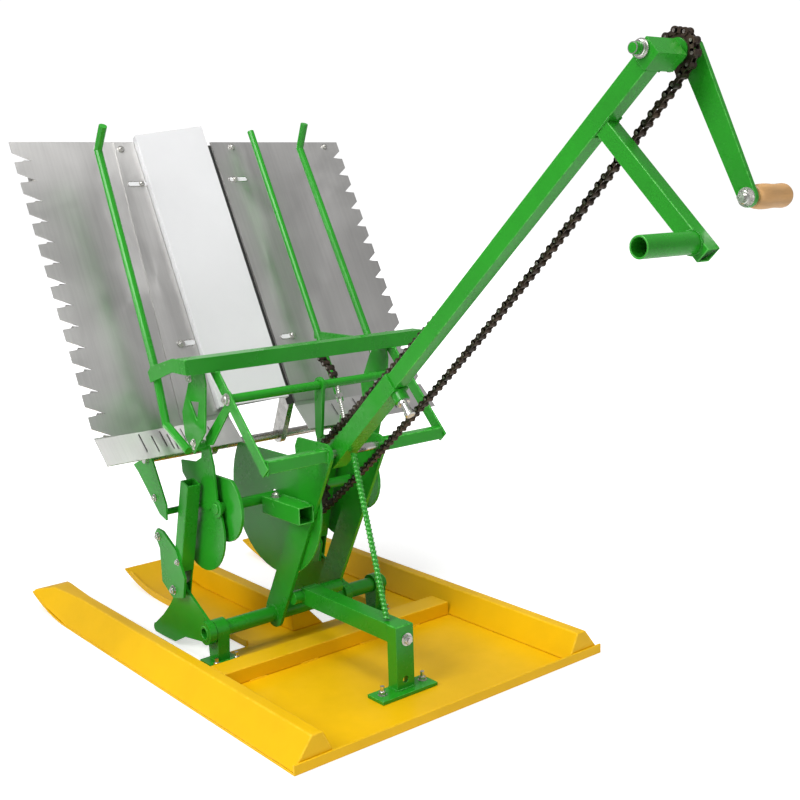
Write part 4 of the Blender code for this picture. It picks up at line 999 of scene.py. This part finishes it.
class TRANSPLANTER_OT_welds(bpy.types.Operator):
    """Lay the weld beads where tubes and plates meet"""

    bl_idname = "transplanter.welds"
    bl_label = "Weld beads"
    bl_options = {"REGISTER", "UNDO"}

    def execute(self, context):
        width = size_settings().weld_width
        tree = weld_tree()
        green = lines_mesh("green_weld_lines", self.green_lines())
        run_tree("green_welds", green, tree, {"Width": width, "Spacing": width * 0.6}, "green_enamel", "frame")
        yellow = lines_mesh("yellow_weld_lines", self.yellow_lines())
        run_tree("yellow_welds", yellow, tree, {"Width": width * 0.9, "Spacing": width * 0.6, "Seed": 11},
                 "yellow_enamel", "frame")
        return {"FINISHED"}

    def green_lines(self):
        """Seams of the frame: rings round tubes, squares round bars and straight runs."""
        def ring(centre, radius, y):
            turns = (2 * math.pi * k / 24 for k in range(24))
            return [Vector((centre.x + radius * math.cos(a), y, centre.z + radius * math.sin(a)))
                    for a in turns], True

        def square(centre, half, y):
            corners = ((-1, -1), (1, -1), (1, 1), (-1, 1))
            return [Vector((centre.x + a * half, y, centre.z + b * half)) for a, b in corners], True

        lines = []
        legs = (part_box("left_leg"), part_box("right_leg"))
        for low, high in legs:
            lines += [ring(CROSS, 0.0128, low.y), ring(CROSS, 0.0128, high.y)]
        lines.append(square(LEG_BOLT, 0.0098, legs[0][0].y))
        for low, high in (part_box("left_hanger"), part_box("right_hanger")):
            lines.append(ring(FEED, 0.0078, high.y if low.y < 0 else low.y))
            lines += [seam((0.046, y, high.z), (0.068, y, high.z)) for y in (low.y, high.y)]
        lines.append(square(LEG_BOLT, 0.0098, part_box("left_support_tube")[0].y))
        half = Vector((0, 0.0095, 0))
        foot, top = mast_spot(MAST_REACH - 0.103, -MAST_HALF), mast_spot(MAST_REACH - 0.075, -MAST_HALF)
        lines += [seam(foot - half, top - half), seam(foot + half, top + half), seam(foot - half, foot + half)]
        lines.append(ring(middle("grip_tube"), 0.0120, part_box("grip_tube")[1].y))
        collar = mast_spot(MAST_REACH - 0.0125)
        for side in (Vector((0, -0.0105, 0)), Vector((0, 0.0105, 0))):
            for across in (-MAST_HALF, MAST_HALF):
                lines.append(seam(collar + side, mast_spot(MAST_REACH - 0.0118, across) + side))
        lines += [seam((0.074, -0.043, z), (0.074, -0.016, z)) for z in (0.0742, 0.0998)]
        foot_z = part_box("front_post")[0].z + 0.0055
        lines += [seam((0.276, y, foot_z), (0.294, y, foot_z)) for y in (-0.045, -0.014)]
        lines.append(seam((0.2955, -0.044, foot_z), (0.2955, -0.015, foot_z)))
        lines += [seam((0.2745, y, 0.075), (0.2745, y, 0.099)) for y in (-0.043, -0.016)]
        _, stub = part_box("socket_stub")
        lines.append(seam((0.060, stub.y, stub.z), (0.128, stub.y, stub.z)))
        for x, z, y in ((-0.0454, 0.440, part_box("top_bar")[0].y + 0.004), (-0.003, 0.440, 0.1536)):
            lines.append(seam((x + 0.004, y, z - 0.006), (x - 0.002, y, z + 0.008)))
        return lines

    def yellow_lines(self):
        """Stitches along the cross beam and a run across each of its ends."""
        low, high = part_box("cross_beam")
        lines = []
        for x in (low.x - 0.0004, high.x + 0.0004):
            lines += [seam((x, y, low.z), (x, y + 0.028, low.z)) for y in (-0.170, -0.080, 0.030, 0.120)]
        top = high.z - 0.002
        return lines + [seam((low.x + 0.003, y, top), (high.x - 0.003, y, top)) for y in (low.y, high.y)]


class TRANSPLANTER_OT_brace(bpy.types.Operator):
    """Make the ribbed brace rod from the sleeve to the post"""

    bl_idname = "transplanter.brace"
    bl_label = "Ribbed brace rod"
    bl_options = {"REGISTER", "UNDO"}

    def execute(self, context):
        low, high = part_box("brace_rod")
        y = (low.y + high.y) / 2
        line = [Vector((low.x + 0.004, y, high.z - 0.001)), Vector((high.x - 0.004, y, low.z + 0.001))]
        run_tree("ribbed_brace", lines_mesh("brace_line", [(line, False)]), ribbed_tree(),
                 {"Spacing": size_settings().rib_spacing}, "green_enamel", "frame", ("brace_rod",))
        return {"FINISHED"}


class TRANSPLANTER_OT_grip(bpy.types.Operator):
    """Turn the wooden grip of the crank"""

    bl_idname = "transplanter.grip"
    bl_label = "Wooden grip"
    bl_options = {"REGISTER", "UNDO"}

    def execute(self, context):
        low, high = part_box("crank_grip")
        centre = middle("crank_grip")
        length, radius = high.y - low.y, (high.x - low.x) / 2
        profile = ((0.0, 0.40), (0.0, 0.70), (0.012, 0.80), (0.05, 0.89), (0.10, 0.94), (0.2, 0.985), (0.3, 1.0),
                   (0.42, 0.985), (0.55, 0.945), (0.68, 0.93), (0.8, 0.96), (0.88, 0.975), (0.93, 0.95), (0.97, 0.87),
                   (0.992, 0.74), (1.0, 0.55), (1.0, 0.28))
        turned_piece("wooden_grip", Vector((centre.x, low.y, centre.z)), Vector((0, 1, 0)),
                     [(share * length, size * radius) for share, size in profile], "wood", "grip", 36,
                     ("crank_grip",))
        return {"FINISHED"}


class TRANSPLANTER_OT_fittings(bpy.types.Operator):
    """Make the sleeve's clamp screw, the feed chain and its rod, and the crank shaft's washers, end and sprocket hub
    """

    bl_idname = "transplanter.fittings"
    bl_label = "Clamp screw and feed chain"
    bl_options = {"REGISTER", "UNDO"}

    def execute(self, context):
        self.clamp()
        self.feed_linkage()
        self.shaft_end()
        return {"FINISHED"}

    def shaft_end(self):
        """Plated washers and the painted end of the crank shaft, and the sprocket's painted hub."""
        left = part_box("head_bearing")[0].y
        out = Vector((0, -1, 0))
        for name, y, axis, profile, look, sides in (
                ("shaft_washers", left - 0.0004, out,
                 ((0.0, 0.0100), (0.0016, 0.0100), (0.0018, 0.0086), (0.0044, 0.0086), (0.0052, 0.0076)), "zinc", 24),
                ("shaft_end", left - 0.0050, out,
                 ((0.0, 0.0062), (0.0080, 0.0062), (0.0094, 0.0048)), "green_enamel", 24),
                ("sprocket_hub", HEAD.y - 0.0047, -out,
                 ((0.0, 0.0128), (0.0006, 0.0134), (0.0088, 0.0134), (0.0094, 0.0128)), "green_enamel", 32)):
            turned_piece(name, Vector((HEAD.x, y, HEAD.z)), axis, profile, look, "crank", sides)

    def clamp(self):
        """Boss and clamp screw under the mast sleeve."""
        across = (mast_spot(0.1, -1.0) - mast_spot(0.1)).normalized()
        seat = mast_spot(0.166, -MAST_HALF - 0.0022)
        boss_height = 0.0142
        turned_piece("clamp_boss", seat, across, ((0.0, 0.0105), (0.013, 0.0105), (boss_height, 0.0092)),
                     "green_enamel", "frame")
        turned_piece("clamp_screw", seat + across * boss_height, across,
                     ((0.0, 0.0085), (0.0035, 0.0085), (0.0036, 0.0055), (0.016, 0.0055), (0.0162, 0.0072),
                      (0.0215, 0.0072), (0.0228, 0.0058)), "zinc", "frame")

    def feed_linkage(self):
        """Short chain from the top bar to a threaded rod on the drive side."""
        y, thread_pitch = 0.020, 0.0016
        path = seam((0.046, y, 0.452), (0.060, y, 0.440), (0.078, y, 0.430), (0.088, y, 0.412))
        run_tree("feed_chain", lines_mesh("feed_chain_line", [path]), chain_tree(),
                 {"Links": 6, "Closed": False, "Pitch": 0.0115}, "chain_steel", "frame")
        top, foot = Vector((0.088, y, 0.414)), Vector((0.118, y, 0.322))
        axis = foot - top
        reach = axis.length
        profile = [(0.0, 0.0035)]
        for k in range(int(reach / thread_pitch)):
            profile.append((thread_pitch * (k + 0.5), 0.0038 if k % 2 else 0.0031))
        profile.append((reach, 0.0035))
        bm = bmesh.new()
        turned(bm, top, axis, profile, 14)
        for distance in (0.020, 0.060):
            turned(bm, top + axis.normalized() * distance, axis, ((0.0, 0.0062), (0.006, 0.0062)), 6)
        place_piece("feed_rod", mesh_from(bm, "feed_rod"), "zinc", "frame")


# Studio lamps: name, place, power, size.
LAMPS = (("key", (0.5, -2.8, 2.4), 67, 1.4), ("side", (3.2, 0.4, 1.2), 10, 1.2), ("top", (0.4, -0.4, 3.0), 48, 1.4))
LAMP_AIM = Vector((0.05, 0, 0.35))
WHITE = (1, 1, 1, 1)
FLOOR_HALF = 9.0
FLOOR_DROP = 0.0004
CAMERA_PLACE = Vector((1.4804, -0.9870, 0.6955))
CAMERA_YAW, CAMERA_PITCH = 0.681481, 0.181086
CAMERA_RIGHT = Vector((0.6338, 0.7730, -0.0290))
CAMERA_LENS, CAMERA_SENSOR = 52.47, 36.0


def seen_mix(tree, plain, seen, target):
    """Show one shader to the camera and the other to everything else."""
    mixed = tree.nodes.new("ShaderNodeMixShader")
    tree.links.new(add_node(tree, "ShaderNodeLightPath").outputs["Is Camera Ray"], mixed.inputs[0])
    tree.links.new(plain, mixed.inputs[1])
    tree.links.new(seen, mixed.inputs[2])
    tree.links.new(mixed.outputs[0], target)


class TRANSPLANTER_OT_stage(bpy.types.Operator):
    """Set out the pale floor, the studio lights and the camera"""

    bl_idname = "transplanter.stage"
    bl_label = "Studio"
    bl_options = {"REGISTER", "UNDO"}

    def execute(self, context):
        self.floor()
        self.world()
        for name, place, power, size in LAMPS:
            light = bpy.data.lights.new(name, "AREA")
            light.energy = power
            light.size = size
            lamp = bpy.data.objects.new(name, light)
            lamp.location = place
            lamp.rotation_euler = (LAMP_AIM - Vector(place)).to_track_quat("-Z", "Y").to_euler()
            bpy.context.scene.collection.objects.link(lamp)
        self.camera()
        return {"FINISHED"}

    def floor(self):
        """Wide flat floor just under the float."""
        bm = bmesh.new()
        bmesh.ops.create_grid(bm, x_segments=1, y_segments=1, size=FLOOR_HALF)
        mesh = bpy.data.meshes.new("studio_floor")
        bm.to_mesh(mesh)
        bm.free()
        floor = bpy.data.objects.new("studio_floor", mesh)
        mesh.transform(Matrix.Translation((0, 0, -FLOOR_DROP)))
        bpy.context.scene.collection.objects.link(floor)
        mesh.materials.append(self.floor_finish())

    def floor_finish(self):
        """Pale floor that looks white to the camera, more so far away, and doesn't light the object."""
        made = finish("studio_floor")
        tree = made.node_tree
        plain = tree.nodes["Principled BSDF"].outputs[0]
        reach = calculate_vector(tree, "LENGTH", add_node(tree, "ShaderNodeTexCoord").outputs["Object"])["Value"]
        farther = add_node(tree, "ShaderNodeMapRange", Value=reach, From_Min=0.6, From_Max=1.8, To_Min=0.46,
                           To_Max=1.0)
        glow = add_node(tree, "ShaderNodeEmission", Color=WHITE, Strength=farther.outputs["Result"])
        lifted = tree.nodes.new("ShaderNodeAddShader")
        tree.links.new(plain, lifted.inputs[0])
        tree.links.new(glow.outputs[0], lifted.inputs[1])
        seen_mix(tree, plain, lifted.outputs[0], tree.nodes["Material Output"].inputs["Surface"])
        return made

    def world(self):
        """Soft ambient light in front of a white backdrop."""
        world = bpy.data.worlds.new("studio")
        world.use_nodes = True
        tree = world.node_tree
        ambient = tree.nodes["Background"]
        ambient.inputs["Color"].default_value = WHITE
        ambient.inputs["Strength"].default_value = 0.38
        backdrop = add_node(tree, "ShaderNodeBackground", Color=WHITE, Strength=1.05)
        seen_mix(tree, ambient.outputs[0], backdrop.outputs[0], tree.nodes["World Output"].inputs["Surface"])
        bpy.context.scene.world = world
        bpy.context.scene.view_settings.view_transform = "Standard"

    def camera(self):
        """Camera at the front left, level with the mast's head."""
        camera = bpy.data.objects.new("camera", bpy.data.cameras.new("camera"))
        camera.data.lens = CAMERA_LENS
        camera.data.sensor_width = CAMERA_SENSOR
        camera.data.clip_start = 0.02
        level = math.cos(CAMERA_PITCH)
        ahead = Vector((-math.cos(CAMERA_YAW) * level, math.sin(CAMERA_YAW) * level, -math.sin(CAMERA_PITCH)))
        right = (CAMERA_RIGHT - ahead * CAMERA_RIGHT.dot(ahead)).normalized()
        turn = Matrix((right, right.cross(ahead), -ahead)).transposed().to_4x4()
        camera.matrix_world = Matrix.Translation(CAMERA_PLACE) @ turn
        bpy.context.scene.collection.objects.link(camera)
        bpy.context.scene.camera = camera


class TRANSPLANTER_PT_sidebar(bpy.types.Panel):
    """Settings and steps of the transplanter's looks"""

    bl_idname = "TRANSPLANTER_PT_sidebar"
    bl_label = "Paddy transplanter"
    bl_space_type = "VIEW_3D"
    bl_region_type = "UI"
    bl_category = "Transplanter"

    def draw(self, context):
        for settings in (context.scene.transplanter_finish, context.scene.transplanter_sizes):
            box = self.layout.box()
            for key in settings.__annotations__:
                box.prop(settings, key)
        for step in STEPS:
            self.layout.operator(step.bl_idname)


STEPS = (TRANSPLANTER_OT_stage, TRANSPLANTER_OT_float, TRANSPLANTER_OT_painted_frame, TRANSPLANTER_OT_tray,
         TRANSPLANTER_OT_chain, TRANSPLANTER_OT_sprockets, TRANSPLANTER_OT_fasteners, TRANSPLANTER_OT_welds,
         TRANSPLANTER_OT_brace, TRANSPLANTER_OT_grip, TRANSPLANTER_OT_fittings)
CLASSES = (TRANSPLANTER_PG_finish, TRANSPLANTER_PG_sizes, *STEPS, TRANSPLANTER_PT_sidebar)


def register():
    for kind in CLASSES:
        bpy.utils.register_class(kind)
    bpy.types.Scene.transplanter_finish = bpy.props.PointerProperty(type=TRANSPLANTER_PG_finish)
    bpy.types.Scene.transplanter_sizes = bpy.props.PointerProperty(type=TRANSPLANTER_PG_sizes)


def unregister():
    del bpy.types.Scene.transplanter_sizes
    del bpy.types.Scene.transplanter_finish
    for kind in reversed(CLASSES):
        bpy.utils.unregister_class(kind)


def main():
    """Register the add-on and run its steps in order."""
    register()
    for step in STEPS:
        family, name = step.bl_idname.split(".")
        getattr(getattr(bpy.ops, family), name)()
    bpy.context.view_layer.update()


if __name__ == "__main__":
    main()
